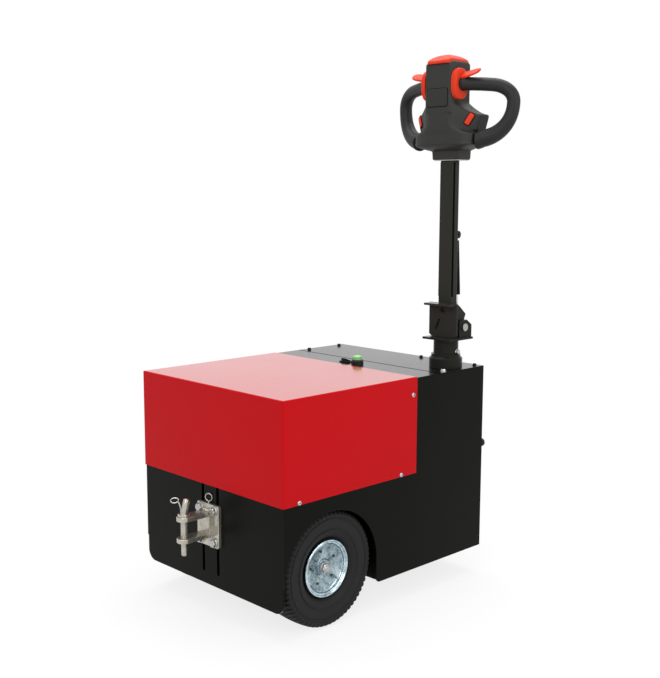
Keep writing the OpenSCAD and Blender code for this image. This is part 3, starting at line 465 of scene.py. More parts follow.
# Drive wheels
tyreShape = {"blocks": 64, "tread": 3.0, "steps": 8, "radius": 130.0, "half": 42.5, "shoulder": 12.0,
             "crown": 300.0, "lugProud": 0.7, "flank": 8.0, "groove": 1.1}
tyreWall = [  # radius and half width from the bead up the wall, with two moulded ridges, millimetres
    (52.6, 22), (58, 23.5), (65, 24.2), (67, 25.6), (70, 30.2), (75, 34.8), (79, 37.2), (83, 38.6),
    (84.6, 39.2), (85.6, 41.2), (88, 41.4), (89, 39.6), (95, 40.2), (103, 40.5), (107.5, 40.4),
    (109, 40.6), (110, 42.5), (112.6, 42.5), (113.6, 40.8), (115.5, 41)]
tyreCrown = [  # half width, share of the block's height and row of blocks, from the shoulder to the middle
    (41.6, 0.25, 0), (40.6, 0.7, 0), (39.2, 1, 0), (37.4, 1, 0), (35.4, 1, 0), (33, 1, 0), (29, 1, 0),
    (27.6, 0.5, 0), (26.2, 0, 0), (22, 1, 1), (17, 1, 1), (15.6, 0.5, 1), (14.2, 0, 1), (10, 1, 2),
    (6, 1, 2), (4.6, 0.5, 2), (3.2, 0, 2), (0, 1, 2)]
wallLugs = [0.0, 0.0, 0.3, 0.6, 1.0, 1.0]  # how far the blocks run down the wall, on its last points
crownLugs = [1.0, 0.7]


def tyreSurface(sideSign):
    # section from one bead over the crown to the other, turned round the axle; where a block stands the
    # radius is full, and in the grooves between blocks and between ribs it is lower by the tread depth
    s = tyreShape
    wall = np.array(tyreWall, float)
    crownX, lifted, rib = np.array(tyreCrown, float).T
    edge = s["half"] - s["shoulder"]
    drop = s["crown"] - np.sqrt(s["crown"] ** 2 - np.minimum(crownX, edge) ** 2)
    bend = s["shoulder"] - np.sqrt(np.maximum(s["shoulder"] ** 2 - np.maximum(crownX - edge, 0) ** 2, 0))
    none = np.zeros(len(wall))
    x = np.concatenate([wall[:, 1], crownX, -crownX[::-1], -wall[::-1, 1]])
    base = s["radius"] - drop - bend - s["tread"] * np.clip(lifted * 2, 0, 1)
    r = np.concatenate([wall[:, 0], base, base[::-1], wall[::-1, 0]])
    lift = np.concatenate([none, lifted, lifted[::-1], none]) * s["tread"]
    row = np.concatenate([none, rib, 5 - rib[::-1], none])
    turns = s["blocks"] * s["steps"]
    step = np.arange(turns)[:, None]
    phase = (step / s["steps"] + row[None, :] * 0.5) % 1.0
    block = np.clip((0.5 - np.abs(phase - 0.5)) * s["flank"] - s["groove"], 0, 1)
    lug = np.concatenate([none[len(wallLugs):], wallLugs, crownLugs, np.zeros(len(crownX) - len(crownLugs))])
    lug = np.concatenate([lug, lug[::-1]]) * s["lugProud"]
    radius = r[None, :] + lift[None, :] * block
    across = x[None, :] + np.sign(x)[None, :] * (lug[None, :] * (block - 0.5))
    turn = step * 2 * np.pi / turns
    return np.stack([across * sideSign, radius * np.cos(turn), radius * np.sin(turn)], -1)


rimShape = {"bolts": 5, "boltCircle": 37.0, "boltOut": 19.0, "boltTurn": 0.5, "boltCorner": 0.003,
            "boltHigh": 0.0022, "hubOut": 22.8, "valveAt": 318.0, "valveOut": 19.4, "valveCircle": 42.0}
rimProfile = [  # radius and distance out from the middle plane, millimetres: band, rolled edges, dish, boss
    (52, -31), (60, -31), (62.5, -32.5), (64, -30.5), (62.5, -28.5), (54, -27.5), (52.5, -22), (52.5, 22),
    (54, 26), (59, 26.6), (61.8, 27.4), (63.4, 29), (63.9, 31), (63.4, 32.8), (62, 33.8),
    (60.4, 33.7), (59.4, 32.6), (59, 31.2), (58.4, 30.6), (57.4, 31), (56.2, 31), (55.3, 30.2),
    (54.8, 28.6), (54.3, 26.4), (53.2, 24.6), (51, 23.4), (47, 22.6), (44, 21.4), (40, 20),
    (34, 18.8), (27, 18.2), (22, 18), (19.6, 18.4), (18.4, 19.6), (17.6, 21.8), (16.4, 22.6),
    (10.4, 22.8), (10.4, 12), (10.4, -32.5), (20, -32.5), (20.5, -10), (26, 14), (46, 17.5), (48.5, 14),
    (49.5, -24), (49.5, -30), (52, -31)]
nutShape = {"bore": 0.0072, "washer": 0.0128, "washerT": 0.0016, "corner": 0.0112, "height": 0.0072,
            "cotter": 0.0011}
stubProfile = [(0.00001, 0.0112), (0.0056, 0.0112), (0.0066, 0.0102), (0.0069, 0.006), (0.00001, 0.006)]
cotterLine = [(-0.013, 0, 0.0088), (-0.006, 0.0004, 0.0094), (0.006, -0.0004, 0.0094), (0.012, 0.002, 0.0086)]
stemProfile = [(0.00001, -0.004), (0.005, -0.004), (0.0046, 0.002), (0.0034, 0.004), (0.0027, 0.009),
               (0.0027, 0.0105), (0.0032, 0.011), (0.0032, 0.0145), (0.0024, 0.0152), (0.00001, 0.0152)]


def wheelSet(side, sign):
    middle = middleOf("tyre_" + side)
    body = "rear_wheel_" + side
    out = Vector((sign, 0, 0))
    s, n = rimShape, nutShape

    def spot(along, radius, turn):  # a place on the wheel: out along the axle, then radius at a turn about it
        return middle + np.array([sign * along, radius * math.cos(turn), radius * math.sin(turn)]) / 1000
    tyre = tyreSurface(sign) / 1000 + middle
    makePiece("tyreRing_" + side, [(tyre, True, False)], body, tyreRubber, ["tyre_" + side])
    rim = spinAbout(np.array(rimProfile) / 1000, 144, "x") * np.array([sign, 1, 1]) + middle
    makePiece("rimDish_" + side, [(rim, True, False)], body, rimZinc, ["rim_" + side])
    dots = []
    for k in range(s["bolts"]):  # bolts of the pressed halves
        place = spot(s["boltOut"], s["boltCircle"], k * 2 * np.pi / s["bolts"] + s["boltTurn"])
        dots.append(headRings(hexRows, s["boltCorner"], s["boltHigh"], place, out))
    makePiece("rimBolts_" + side, dots, body, axleCasting)
    hub = spot(s["hubOut"], 0, 0)
    nut = [washerDisc(hub, out, n["bore"], n["washer"], n["washerT"]),
           headRings(hexRows, n["corner"], n["height"], hub, out, n["washerT"]),
           turned(stubProfile, hub, out, 28),
           sweptTube(facing(cotterLine, hub, out), n["cotter"], 12, (0.2, 0.9, 0.3))]
    makePiece("axleNut_" + side, nut, body, pinSteel)
    place = spot(s["valveOut"], s["valveCircle"], math.radians(s["valveAt"]))
    makePiece("valveStem_" + side, [turned(stemProfile, place, out, 24)], body, pinSteel)


axleShape = {"tube": 0.028, "gear": 0.058, "gearHalf": 0.035, "gearEdge": 0.006, "motor": 0.052,
             "motorLong": 0.21, "motorEdge": 0.004, "flange": 0.05, "flangeT": 0.01, "bayGap": 0.008,
             "stub": 0.01, "stubLap": 0.002, "stubOut": 0.0225}


def driveAxle():
    # turned pieces along the axle: tube, bay flanges, stub ends, gear housing, and the motor across it
    s = axleShape
    wheelX, y, z = middleOf("tyre_right")
    at = np.array([centreX, y, z])
    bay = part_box("tyre_right")[0].x - centreX - s["bayGap"]
    stubEnd = wheelX - centreX + s["stubOut"]
    pieces = [turned(drum(s["tube"], -bay, bay), at, (1, 0, 0), 48),
              turned(drum(s["gear"], -s["gearHalf"], s["gearHalf"], s["gearEdge"]), at, (1, 0, 0), 64),
              turned(drum(s["motor"], 0.0, s["motorLong"], s["motorEdge"]), at, (0, 1, 0), 64)]
    for sign in (-1, 1):
        pieces += [turned(drum(s["flange"], bay - s["flangeT"], bay), at, (sign, 0, 0), 64),
                   turned(drum(s["stub"], bay - s["stubLap"], stubEnd), at, (sign, 0, 0), 32)]
    makePiece("driveAxle", pieces, "chassis", axleCasting, ["drive_axle"])


driveAxle()
for side, sign in sides:
    wheelSet(side, sign)
print("stage 3: drive wheels dressed")

# Handles: the loop's line is four Bezier pieces in (across, up), swept back with the distance from the head
loopShape = {"tube": 15.0, "footTube": 20.0, "reach": 161.0, "rootZ": 1181.0, "footZ": 1053.0, "rootX": 54.0,
             "rootY": -20.0, "sweep": 0.42, "footX": 84.3, "start": 39.3, "swellFrom": 54, "endEdge": 0.8}


def loopPath(mirror):
    s = loopShape
    top, out = np.array([s["reach"] - 43, s["rootZ"] - 5]), np.array([s["reach"], s["rootZ"] - 43])
    low, begin = np.array([s["footX"] + 12, s["footZ"] + 4]), np.array([s["start"], s["rootZ"]])
    foot = np.array([s["footX"], s["footZ"]])
    pieces = [(begin, begin + [28, -1], top + [-26, 3], top, 24),
              (top, top + [24, -3], out + [0, 20], out, 30),
              (out, out + [0, -48], low + [33, 5], low, 46),
              (low, low + [-5, -2], foot + [4, 0], foot, 8)]
    lines = []
    for a, b, c, d, n in pieces:
        t = np.linspace(0, 1, n, endpoint=False)[:, None]
        lines.append((1 - t) ** 3 * a + 3 * t * (1 - t) ** 2 * b + 3 * t * t * (1 - t) * c + t ** 3 * d)
    flat = np.concatenate(lines + [foot[None]])
    back = s["rootY"] + np.maximum(0, flat[:, 0] - s["rootX"]) * s["sweep"]
    step = np.arange(len(flat)) - s["swellFrom"]
    share = np.clip(step / step[-1], 0, 1)
    radius = mix(s["tube"], s["footTube"], share * share * (3 - 2 * share))
    radius[-1] -= s["endEdge"]
    return np.stack([flat[:, 0] * mirror, back, flat[:, 1]], -1), radius / 1000


for side, mirror in sides:
    path, radius = loopPath(mirror)
    tube = sweptTube(onPost(path), radius, 40, (-loopShape["sweep"] * mirror, 1, 0))
    makePiece("gripLoop_" + side, [tube], "tiller", gripRubber, ["handle_" + side])
print("stage 4: handle loops")

# Head: rounded sections from the neck up, an arched block and two wings, grown together into one moulding
headShape = {"half": 39.0, "front": -48.0, "back": 25.0, "top": 1240.0, "arch": 55.0, "edge": 6.0,
             "neckZ": 1011.0, "waistUp": 113.0, "blockUp": 105.0, "roofDrop": 2.0, "spread": 84.0,
             "bulge": 2.0, "voxel": 0.0013, "rounds": 14}
bowlShape = {"low": 19, "high": 37, "half": 40, "front": -14, "back": 27, "rimFront": -44, "rimBack": 22,
             "flankUp": 58, "lap": 0.7, "square": 8, "round": 3}  # square and round are superellipse powers
wingShape = {"reach": 94.0, "front": -8.0, "back": 28.0, "rootFront": -43.0, "low": 1075.0, "high": 1112.0,
             "rootLow": 1067.0, "rootHigh": 1142.0, "slant": 10.0, "curve": 1.6, "tipEdge": 2.6,
             "tipLead": 0.8, "square": 8}
neckShape = {"half": 40.6, "depth": 22.2, "widen": 0.05, "deepen": 0.03, "edge": 1.2, "corner": 3.0,
             "back": 6.5, "rows": [0.0, 1.2, 12.0, 24.0, 30.0]}


def lowerBody():
    # rings up the lower body: a bowl opens by the sine of the height, the flanks close by the fourth power
    s, b = headShape, bowlShape
    wide = s["spread"] + s["bulge"]
    t = np.linspace(0, 1, 16)
    bow = np.sin(t * np.pi / 2)
    bowl = [mix(b["low"], b["high"], t), mix(b["half"], wide, bow), mix(b["front"], b["rimFront"], bow),
            mix(b["back"], b["rimBack"], t), mix(b["square"], b["round"], t)]
    t = np.linspace(0, 1, 44)
    draw = (1 - t) ** 4
    flank = [mix(b["flankUp"], s["waistUp"], t), mix(s["half"] - b["lap"], wide, draw),
             mix(s["front"] + b["lap"], b["rimFront"], draw), mix(s["back"] - b["lap"], b["rimBack"], draw),
             mix(b["round"], b["square"], t)]
    up, half, front, back, power = [np.concatenate(pair)[:, None] for pair in zip(bowl, flank)]
    c, sn = superRing(96, power)
    x = np.clip(half * c, -s["spread"], s["spread"])
    y = mix(front, back, (1 + sn) / 2)
    return postLoft(np.stack([x, y, np.broadcast_to(s["neckZ"] + up, x.shape)], -1))


def archedTop(s, y):  # height of the circle that the top follows from front to back
    middle = (s["front"] + s["back"]) / 2
    return s["top"] - s["arch"] + np.sqrt(np.maximum(s["arch"] ** 2 - (y - middle) ** 2, 0))


def upperBlock():
    # rounded rectangle carried up to an arched top: the height is the arch's circle, lower at the rim
    s = headShape
    middle, depth = (s["front"] + s["back"]) / 2, (s["back"] - s["front"]) / 2
    wx, wy = boxRing(96, s["half"], depth, s["edge"])
    wall = np.linspace(0, 1, 12)[:, None]
    low = s["neckZ"] + s["blockUp"]
    z = low + (archedTop(s, middle + wy) - s["roofDrop"] - low) * wall
    side = np.stack([np.broadcast_to(wx, z.shape), np.broadcast_to(middle + wy, z.shape), z], -1)
    shrink = np.array([0.985, 0.95, 0.9, 0.8, 0.6, 0.4, 0.2])[:, None]
    rim = np.array([0.7, 0.1, 0, 0, 0, 0, 0])[:, None]
    y = middle + wy * shrink
    roof = np.stack([wx * shrink, y, archedTop(s, y) - rim], -1)
    return postLoft(np.concatenate([side, roof]))


def wingLoft(mirror):
    # rings along the wing: front, back, foot and crest run straight to the tip, the crest along a power curve
    w = wingShape
    t = np.concatenate([[-0.2], np.linspace(0, 0.96, 40), [0.985, 1.0]])[:, None]
    u = np.maximum(t, 0)
    inset = np.where(t > 0.99, w["tipEdge"], np.where(t > 0.97, w["tipLead"], 0.0))
    low = mix(w["rootLow"], w["low"], u) + inset
    high = mix(w["high"], w["rootHigh"], (1 - u) ** w["curve"]) - inset
    front = mix(w["rootFront"], w["front"], u) + inset
    back = mix(headShape["back"], w["back"], u) - inset
    c, sn = superRing(64, w["square"])
    share = (1 + sn) / 2
    x = mix(headShape["half"], w["reach"], t) - w["slant"] * u * (1 - share)
    return postLoft(np.stack([x * mirror, mix(front, back, (1 + c) / 2), mix(low, high, share)], -1))


def neckBlock():
    # a short block under the bowl, a little wider with height, its lowest ring drawn in
    s = neckShape
    rows = np.array(s["rows"])
    half, depth = s["half"] + rows * s["widen"], s["depth"] + rows * s["deepen"]
    half[0], depth[0] = half[0] - s["edge"], depth[0] - s["edge"]
    x, y = boxRing(64, half, depth, np.full(len(rows), s["corner"]))
    z = np.broadcast_to((headShape["neckZ"] + rows)[:, None], x.shape)
    return postLoft(np.stack([x, y + s["back"], z], -1))


def grownTogether(name, grids, voxel, rounds):
    # overlapping closed surfaces become one skin on a fine lattice, then each point moves towards its
    # neighbours' mean, so that edges turn round and valleys fill
    rough = bpy.data.objects.new(name + "Rough", meshOf(name + "Rough", grids))
    scene.collection.objects.link(rough)
    skin = rough.modifiers.new("skin", "REMESH")
    skin.mode, skin.voxel_size, skin.adaptivity = "VOXEL", voxel, 0.0
    soft = rough.modifiers.new("soft", "SMOOTH")
    soft.factor, soft.iterations = 0.5, rounds
    mesh = bpy.data.meshes.new_from_object(rough.evaluated_get(bpy.context.evaluated_depsgraph_get()))
    mesh.name = name
    bpy.data.objects.remove(rough)
    return mesh


headMesh = grownTogether("headShell", [lowerBody(), upperBlock(), wingLoft(-1), wingLoft(1), neckBlock()],
                         headShape["voxel"], headShape["rounds"])
addPiece("headShell", headMesh, "tiller", headPlastic, ["head_shell"])
print("stage 5: head,", len(headMesh.polygons), "faces")

# Controls on the head
capShape = {"half": 33.7, "front": -51.0, "back": 28.0, "top": 1250.0, "arch": 55.0, "crown": 69.0,
            "foot": 1227.3, "lip": 1.0, "edge": 3.0, "corner": 9.0}


def bellyCap():
    # cap over the head: an arch falls away along the head and a crown across it, and the height drops by the
    # root of the sum of the two falls' squares; the rim turns down
    s = capShape
    middle, depth = (s["front"] + s["back"]) / 2, (s["back"] - s["front"]) / 2
    share = np.array([1, 1, 1, 0.995, 0.975, 0.945, 0.91, 0.86, 0.78, 0.66, 0.52, 0.36, 0.18])[:, None]
    rim = np.array([0, 0, 1, 0.55, 0.22, 0.06, 0, 0, 0, 0, 0, 0, 0])[:, None]
    wx, wy = boxRing(96, s["half"], depth, s["corner"])
    x, y = wx * share, middle + wy * share
    along = s["top"] - archedTop(s, y)
    across = s["crown"] - np.sqrt(np.maximum(s["crown"] ** 2 - x ** 2, 0))
    z = s["top"] - np.sqrt(along ** 2 + across ** 2) - s["edge"] * rim
    z[0], z[1] = s["foot"], s["foot"] + s["lip"]
    return postLoft(np.stack([x, y, z], -1))


thumbShape = {"face": 39.3, "thick": 12.0, "halfW": 24.0, "halfH": 35.0, "hole": 16.0, "shift": -4.0,
              "edge": 3.2, "holeEdge": 1.2, "proud": 0.6, "oval": 2.5, "lean": 36.0, "blade": 3.2}
paddleKeys = [  # distance out, height over the loop's line, half width, half thickness
    (42, 17, 10, 5), (50, 18, 11.5, 4.6), (58, 19, 12.6, 4), (66, 20.2, 13.2, 3.6),
    (74, 21.6, 13.4, 3.3), (82, 23, 13, 3.1), (90, 24.4, 11.6, 2.9), (95, 25.2, 9.4, 2.7),
    (98, 25.7, 6.6, 2.3), (99, 26, 3.6, 1.4)]


def thumbWheel(mirror):
    # an oval ring whose rows run from the hole's back edge round its face to the oval's back edge,
    # and a leaning paddle of rounded sections
    s = thumbShape

    def onLoop(x, y, z):  # distances from the loop's root
        return np.stack([x * mirror, loopShape["rootY"] + y, loopShape["rootZ"] + z], -1)
    turn = fullTurn(72)[None, :]
    ovalC, ovalS = superRing(72, s["oval"])
    bend = np.linspace(0, np.pi / 2, 6)
    out = np.concatenate([[0, 0, 0, 0.35, 0.7], np.ones(6), [1]])[:, None]
    inset = np.concatenate([[0, 0, -s["holeEdge"], 0, 0], s["edge"] * (1 - np.sin(bend)), [0]])[:, None]
    proud = s["thick"] + s["proud"]
    along = np.concatenate([[0, s["thick"] - s["holeEdge"], s["thick"], proud, proud],
                            s["thick"] - s["edge"] * (1 - np.cos(bend)), [0]])[:, None]
    y = mix(s["hole"] * np.cos(turn), s["shift"] + (s["halfW"] - inset) * ovalC, out)
    z = mix(s["hole"] * np.sin(turn), (s["halfH"] - inset) * ovalS, out)
    wheel = onLoop(np.broadcast_to(s["face"] + along, y.shape), y, z)
    reach, height, halfW, halfT = np.array(paddleKeys).T[:, :, None]
    c, sn = superRing(40, s["blade"])
    lean = math.radians(s["lean"])
    y = halfW * c * math.cos(lean) - halfT * sn * math.sin(lean)
    z = height + halfW * c * math.sin(lean) + halfT * sn * math.cos(lean)
    return [(onPost(wheel), True, True), postLoft(onLoop(np.broadcast_to(reach, y.shape), y, z))]


makePiece("bellyCap", [bellyCap()], "tiller", orangePlastic, ["belly_button"])
for side, mirror in sides:
    makePiece("thumbLever_" + side, thumbWheel(mirror), "tiller", orangePlastic, ["thumb_wheel_" + side])
panelZ = 1151.0
panelPlate = {"halfA": 0.0295, "halfB": 0.02, "thick": 0.0016, "corner": 0.005, "edge": 0.001}
# dark rims a little larger than the panel and the side buttons, just behind them: painted shade in the gaps
# round them
panelShadeRim = {"halfA": 0.0307, "halfB": 0.0212, "thick": 0.0004, "corner": 0.005, "edge": 0.0002}
place = onPost((0, headShape["front"], panelZ))
panel = softPlate(place, toHitch, upward, **panelPlate)
makePiece("headPanel", [panel], "tiller", panelPlastic, ["head_panel"])
buttonSpot = {"along": 0.62, "z": 1101.0, "lean": 32.0}
buttonPlate = {"halfA": 0.006, "halfB": 0.0136, "thick": 0.0022, "corner": 0.0025, "edge": 0.001,
               "sink": 0.002, "crown": 0.0005}
buttonShadeRim = {"halfA": 0.0076, "halfB": 0.0152, "thick": 0.0004, "corner": 0.0041, "edge": 0.0002,
             "sink": 0.003}
w, along, lean = wingShape, buttonSpot["along"], math.radians(buttonSpot["lean"])
shadeRims, buttons = [softPlate(place, toHitch, upward, **panelShadeRim)], []
for side, mirror in sides:  # on the wing's front face, leaning outwards
    run = Vector(((w["reach"] - headShape["half"]) * mirror, w["front"] - w["rootFront"], 0)).normalized()
    normal = Vector((run.y * mirror, -run.x * mirror, 0))
    up = Vector(upward) * math.cos(lean) + run * math.sin(lean)
    across, front = mix(headShape["half"], w["reach"], along), mix(w["rootFront"], w["front"], along)
    place = onPost((mirror * across, front, buttonSpot["z"]))
    shadeRims.append(softPlate(place, normal, up, **buttonShadeRim))
    buttons.append(softPlate(place, normal, up, **buttonPlate))
# the dark rims: painted shade round the panel and the side buttons
makePiece("headShadeRims", shadeRims, "tiller", gapShade)
makePiece("sideButtons", buttons, "tiller", orangePlastic, ["side_buttons"])
neckPlate = {"halfA": 0.0375, "halfB": 0.0195, "thick": 0.0016, "corner": 0.003, "edge": 0.0005}
neck = softPlate(onPost((0, neckShape["back"], headShape["neckZ"])), (0, 0, -1), (0, 1, 0), **neckPlate)
makePiece("neckPlate", [neck], "tiller", pinSteel)
print("stage 6: head controls")

# Side plates: folded sheet with the wheel arch close round the tyre and a round foot behind it
plateShape = {"thick": 0.003, "edge": 0.0008, "arch": 0.138, "archY": 0.138, "archZ": 0.124, "foot": 0.012}


def sidePlate(side, sign):
    # columns along the plate: the lower edge is the arch's circle, then straight down to a rounded foot;
    # each column is a ring round the sheet with turned edges
    low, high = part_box("side_plate_" + side)
    s = plateShape
    turn = np.linspace(np.pi, 0, 60)
    archY, archZ = s["archY"] + s["arch"] * np.cos(turn), s["archZ"] + s["arch"] * np.sin(turn)
    bend = np.linspace(0, np.pi / 2, 10)
    footY, footZ = archY[-1] + s["foot"] * (1 - np.cos(bend)), low.z + s["foot"] * (1 - np.sin(bend))
    rest = np.linspace(footY[-1], high.y - hitchY, 12)[1:]
    y = hitchY + np.concatenate([archY, footY, rest])
    foot = np.concatenate([archZ, footZ, np.full(len(rest), low.z)])[:, None]
    e, t = s["edge"], s["thick"]
    inward = np.array([0, e, t - e, t, t, t - e, e, 0])[None, :]
    rise = np.array([e, 0, 0, e, 0, 0, 0, 0])[None, :]
    drop = np.array([0, 0, 0, 0, e, 0, 0, e])[None, :]
    upper = np.arange(8)[None, :] > 3
    z = np.where(upper, high.z - drop, foot + rise)
    x = np.broadcast_to((high.x if sign > 0 else low.x) - sign * inward, z.shape)
    grid = capped(np.stack([x, np.broadcast_to(y[:, None], z.shape), z], -1))
    makePiece("sidePlate_" + side, [(grid, False, True)], "chassis", blackCoat, ["side_plate_" + side])


for side, sign in sides:
    sidePlate(side, sign)

# Fasteners: places in millimetres, sizes in metres
hoodScrew = {"radius": 0.0052, "height": 0.003, "side": 247, "spots": [(390, 481), (352, 302), (40, 302)]}
s = hoodScrew
heads = [headRings(socketRows, s["radius"], s["height"], onTug((sign * s["side"], y, z)), (sign, 0, 0))
         for y, z in s["spots"] for sign in (-1, 1)]
makePiece("hoodScrews", heads, "chassis", pinSteel)
deckTop = 519
deckBolt = {"corner": 0.006, "height": 0.0042, "lift": 0.0012, "bore": 0.0005, "washer": 0.0072,
            "washerT": 0.0013, "spots": [(231, 514)]}
darkBolt = {**deckBolt, "corner": 0.0046, "washer": 0.00552,
            "spots": [(-228, 511), (-226, 620), (231, 632), (60, 632)]}
for name, s, finish in (("deckBolts", deckBolt, pinSteel), ("deckBoltsDark", darkBolt, tillerCoat)):
    heads = bolts(onTug([(x, y, deckTop) for x, y in s["spots"]]), upward, s)
    makePiece(name, heads, "chassis", finish)
postBolt = {"corner": 0.0062, "height": 0.005, "lift": 0.0015, "bore": 0.0005, "washer": 0.0074,
            "washerT": 0.0016, "angle": 10.0, "z": 558.0, "out": 0.0295}
turn = math.radians(postBolt["angle"])
aim = Vector((math.cos(turn), math.sin(turn), 0))
at = onPost((0, 0, postBolt["z"])) + np.array(aim) * postBolt["out"]
makePiece("postBolt", bolts([at], aim, postBolt), "post", pinSteel)
# dark strips laid on the deck seam and down the column's two grooves: painted shade in the seam and the
# grooves
shadeStrips = {"seam": 0.0012, "seamInset": 0.001, "groove": 0.003, "grooveY": -5.2, "grooveLow": 690.0,
        "grooveHigh": 1006.0}
thinLine = {"thick": 0.0003, "corner": 0.0004, "edge": 0.0001}
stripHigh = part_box("control_strip")[1]
seamAt = (centreX, (stripHigh.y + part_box("deck_cover")[0].y) / 2, stripHigh.z)
seamHalf = (sideHigh.x - sideLow.x) / 2 - shadeStrips["seamInset"]
seam = softPlate(seamAt, upward, (0, 1, 0), seamHalf, shadeStrips["seam"], **thinLine)
makePiece("deckSeamShade", [seam], "chassis", gapShade)
# painted shade: a dark strip down each groove of the column
columnLow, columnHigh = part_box("column")
grooveHalf = (shadeStrips["grooveHigh"] - shadeStrips["grooveLow"]) / 2000
grooveShades = []
for sign, x in ((-1, columnLow.x), (1, columnHigh.x)):
    place = onPost((0, shadeStrips["grooveY"], (shadeStrips["grooveLow"] + shadeStrips["grooveHigh"]) / 2))
    place[0] = x
    grooveShades.append(softPlate(place, (sign, 0, 0), upward, shadeStrips["groove"], grooveHalf, **thinLine))
makePiece("columnGrooveShades", grooveShades, "tiller", gapShade)
print("stage 7: fasteners and trim")

# Hitch: plate, two arms with a web, tow pin with a leaning grip, two lynch pins, in millimetres
hitchShape = {"z": 208.0, "top": 256.0, "armHalf": 16.0, "armT": 10.0, "lowArm": 183.0, "highArm": 231.0,
              "reach": 72.0, "edge": 1.6}
hitchPlate = {"halfA": 0.038, "halfB": 0.048, "thick": 0.008, "corner": 0.006, "edge": 0.0012, "sink": 0.0}
hitchWeb = {"halfA": 0.016, "halfB": 0.029, "thick": 0.008, "corner": 0.001, "edge": 0.0008}
beadShape = {"radius": 2.4, "ripple": 0.45, "pitch": 2.1, "out": 0.6, "past": 1.0, "points": 60}
h = hitchShape
face, top, tip = -1000 * hitchPlate["thick"], h["highArm"] + h["armT"], -h["reach"]
plate = softPlate(onTug((0, 0, h["z"])), toHitch, upward, **hitchPlate)
makePiece("hitchPlate", [plate], "chassis", hitchZinc, ["hitch_plate"])
arc = np.linspace(0, np.pi, 25)
end = np.stack([h["armHalf"] * np.cos(arc), tip - h["armHalf"] * np.sin(arc)], -1)
straight = np.linspace(face, tip, 10)[:-1]
flank = np.stack([np.full(len(straight), h["armHalf"]), straight], -1)
outline = np.concatenate([flank, end, (flank * [-1, 1])[::-1]])[::-1]
jaw = [(onTug(slab(outline, z, z + h["armT"], h["edge"])), False, True) for z in (h["lowArm"], h["highArm"])]
jaw.append(softPlate(onTug((0, face, (h["lowArm"] + top) / 2)), toHitch, upward, **hitchWeb))
s = beadShape
for z in (h["lowArm"], top):  # weld beads where the arms meet the plate: a tube whose radius ripples
    run = np.linspace(-h["armHalf"] - s["past"], h["armHalf"] + s["past"], s["points"])
    bead = np.stack([run, np.full(s["points"], face - s["out"]), np.full(s["points"], z)], -1)
    ripple = s["radius"] + s["ripple"] * np.sin(run * s["pitch"])
    jaw.append(sweptTube(onTug(bead), ripple / 1000, 12, upward))
makePiece("hitchJaw", jaw, "chassis", hitchZinc, ["hitch_jaw"])
pinShape = {"pin": 7.0, "tail": 6.5, "foot": 153.0, "seat": 13.0, "seatH": 6.0, "grip": 7.2, "lean": 16.0}
gripRows = [  # distance along the grip, share of its radius
    (-2, 1), (0, 1), (10, 1), (20, 1), (29, 1), (31, 0.9), (32.4, 0.66), (33, 0.3)]
s = pinShape
seatTop = top + s["seatH"]
pinLine = [  # radius and height
    (0.01, s["foot"]), (s["tail"] - 1.8, s["foot"]), (s["tail"], s["foot"] + 2), (s["tail"], h["lowArm"] - 4),
    (s["pin"], h["lowArm"] - 3), (s["pin"], top), (s["seat"] - 0.8, top), (s["seat"], top + 0.8),
    (s["seat"], seatTop - 1.2), (s["seat"] - 1.2, seatTop), (0.01, seatTop)]
lean = math.radians(s["lean"])
along, share = np.array(gripRows).T
gripLine = np.array([0, tip, seatTop]) + along[:, None] * np.array([0, math.sin(lean), math.cos(lean)])
pin = [turned(np.array(pinLine) / 1000, onTug((0, tip, 0)), upward, 40),
       sweptTube(onTug(gripLine), share * s["grip"] / 1000, 28, (1, 0, 0))]
makePiece("towPin", pin, "chassis", hitchZinc, ["tow_pin"])
lynchShape = {"wire": 0.0019, "ringWire": 0.0013, "ring": 0.0085, "bendZ": 258.0, "seatX": -9.0,
              "seatTop": 274.0, "seatAxis": (0.27, -0.26, 0.93), "plateTop": 262.0,
              "plateAxis": (0.35, -0.93, 0.0)}
s = lynchShape
seatLine = [(s["seatX"], tip, seatTop - 2), (s["seatX"], tip - 1, s["bendZ"]),
            (s["seatX"] - 1, tip - 3, s["bendZ"] + 8), (s["seatX"] - 3, tip - 6, s["seatTop"])]
plateLine = [(0, face / 2, h["top"] - 2), (0, face / 2, s["bendZ"]), (0, face / 2, s["plateTop"])]
seatRing, plateRing = (s["seatX"] - 8, tip - 11, s["seatTop"] + 1), (0, face / 2, s["plateTop"] + 7.5)
wires = [sweptTube(onTug(path), s["wire"], 14, (1, 0, 0.1)) for path in (seatLine, plateLine)]
wires += [wireRing(onTug(seatRing), s["seatAxis"], s["ring"], s["ringWire"]),
          wireRing(onTug(plateRing), s["plateAxis"], s["ring"], s["ringWire"])]
makePiece("lynchPins", wires, "chassis", pinSteel, ["lynch_pins"])
hitchBolt = {"corner": 0.0095, "height": 0.0075, "lift": 0.002, "bore": 0.0005, "washer": 0.0115,
             "washerT": 0.0022, "spots": [(-24.5, 172), (24.5, 172), (-24.5, 244), (24.5, 244)]}
heads = bolts(onTug([(x, face, z) for x, z in hitchBolt["spots"]]), toHitch, hitchBolt)
makePiece("hitchBolts", heads, "chassis", pinSteel)
print("stage 8: hitch")

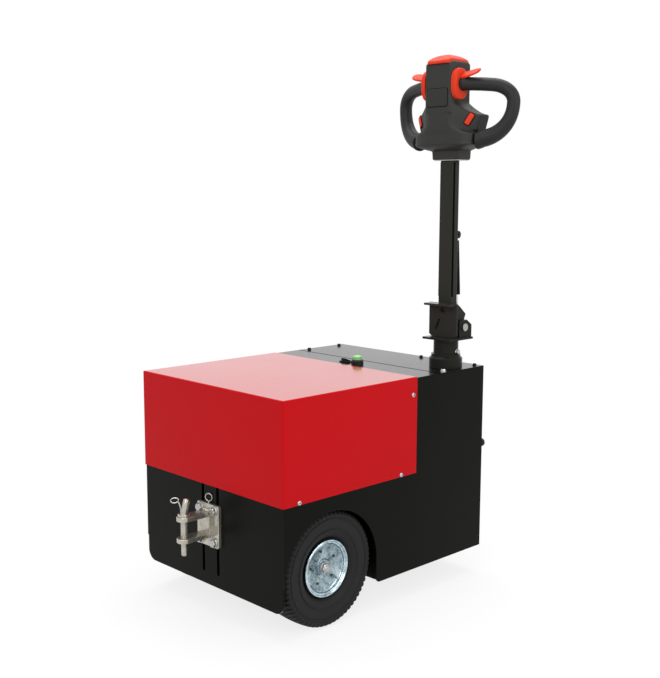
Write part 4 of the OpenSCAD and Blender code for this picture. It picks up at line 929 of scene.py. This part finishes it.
# Studio: white floor that keeps a soft shadow, even light, the photograph's camera
studio = {"place": (1770.0, -1350.9, 936.6), "azimuth": 45.87, "elevation": 8.1, "roll": 0.198, "lens": 55.0,
          "world": 0.62, "floor": 40.0, "floorGlow": 0.8, "fadeFrom": 0.7, "fadeTo": 2.2}
floorMesh = bpy.data.meshes.new("floor")
corners = [(x * studio["floor"], y * studio["floor"], 0) for x, y in ((-1, -1), (1, -1), (1, 1), (-1, 1))]
floorMesh.from_pydata(corners, [], [(0, 1, 2, 3)])
floor = bpy.data.objects.new("floor", floorMesh)
scene.collection.objects.link(floor)
f = Finish("floorPaper")
far = f.vector("LENGTH", {0: f.place()}, 1) - studio["fadeFrom"]
far = (far * (1 / (studio["fadeTo"] - studio["fadeFrom"]))).held()
glow = f.add("ShaderNodeEmission", {}, {"Color": (1.0, 1.0, 1.0)})
paper = f.add("ShaderNodeBsdfDiffuse", {}, {"Color": (0.86, 0.86, 0.86)})
white = studio["floorGlow"] + far * (1 - studio["floorGlow"])
both = f.add("ShaderNodeMixShader", {}, {0: f.plainly() * white, 1: paper, 2: glow})
f.tree.links.new(both.socket, f.tree.nodes["Material Output"].inputs[0])
floorMesh.materials.append(f.material)

scene.world = bpy.data.worlds.new("studio")
sky = Finish("sky", scene.world)
sky.shade(Color=(1.0, 1.0, 1.0), Strength=sky.plainly() * (1 - studio["world"]) + studio["world"])

lamps = [  # name, place, target, size, watts
    ("keyLamp", (1.4, -3.0, 2.4), (0, 0, 0.5), 2.2, 46.0),
    ("fillLamp", (3.2, 0.4, 1.8), (0, 0, 0.5), 2.0, 34.0),
    ("topLamp", (-0.4, 0.4, 3.2), (0, 0, 0.4), 2.5, 70.0)]
for name, place, target, size, power in lamps:
    lamp = bpy.data.lights.new(name, "AREA")
    lamp.size, lamp.energy = size, power
    holder = bpy.data.objects.new(name, lamp)
    holder.location = place
    holder.rotation_euler = (Vector(target) - Vector(place)).to_track_quat("-Z", "Y").to_euler()
    scene.collection.objects.link(holder)

camData = bpy.data.cameras.new("camera")
camData.lens, camData.sensor_width, camData.sensor_fit = studio["lens"], 36.0, "AUTO"
camData.clip_start, camData.clip_end = 0.05, 100
camera = bpy.data.objects.new("camera", camData)
az, el = math.radians(studio["azimuth"]), math.radians(studio["elevation"])
backward = Vector((math.sin(az) * math.cos(el), -math.cos(az) * math.cos(el), math.sin(el)))
camera.location = onTug(studio["place"])
upright = (-backward).to_track_quat("-Z", "Y").to_matrix()
camera.rotation_euler = (upright @ Matrix.Rotation(math.radians(studio["roll"]), 3, "Z")).to_euler()
scene.collection.objects.link(camera)
scene.camera = camera
print("stage 9: studio and camera")
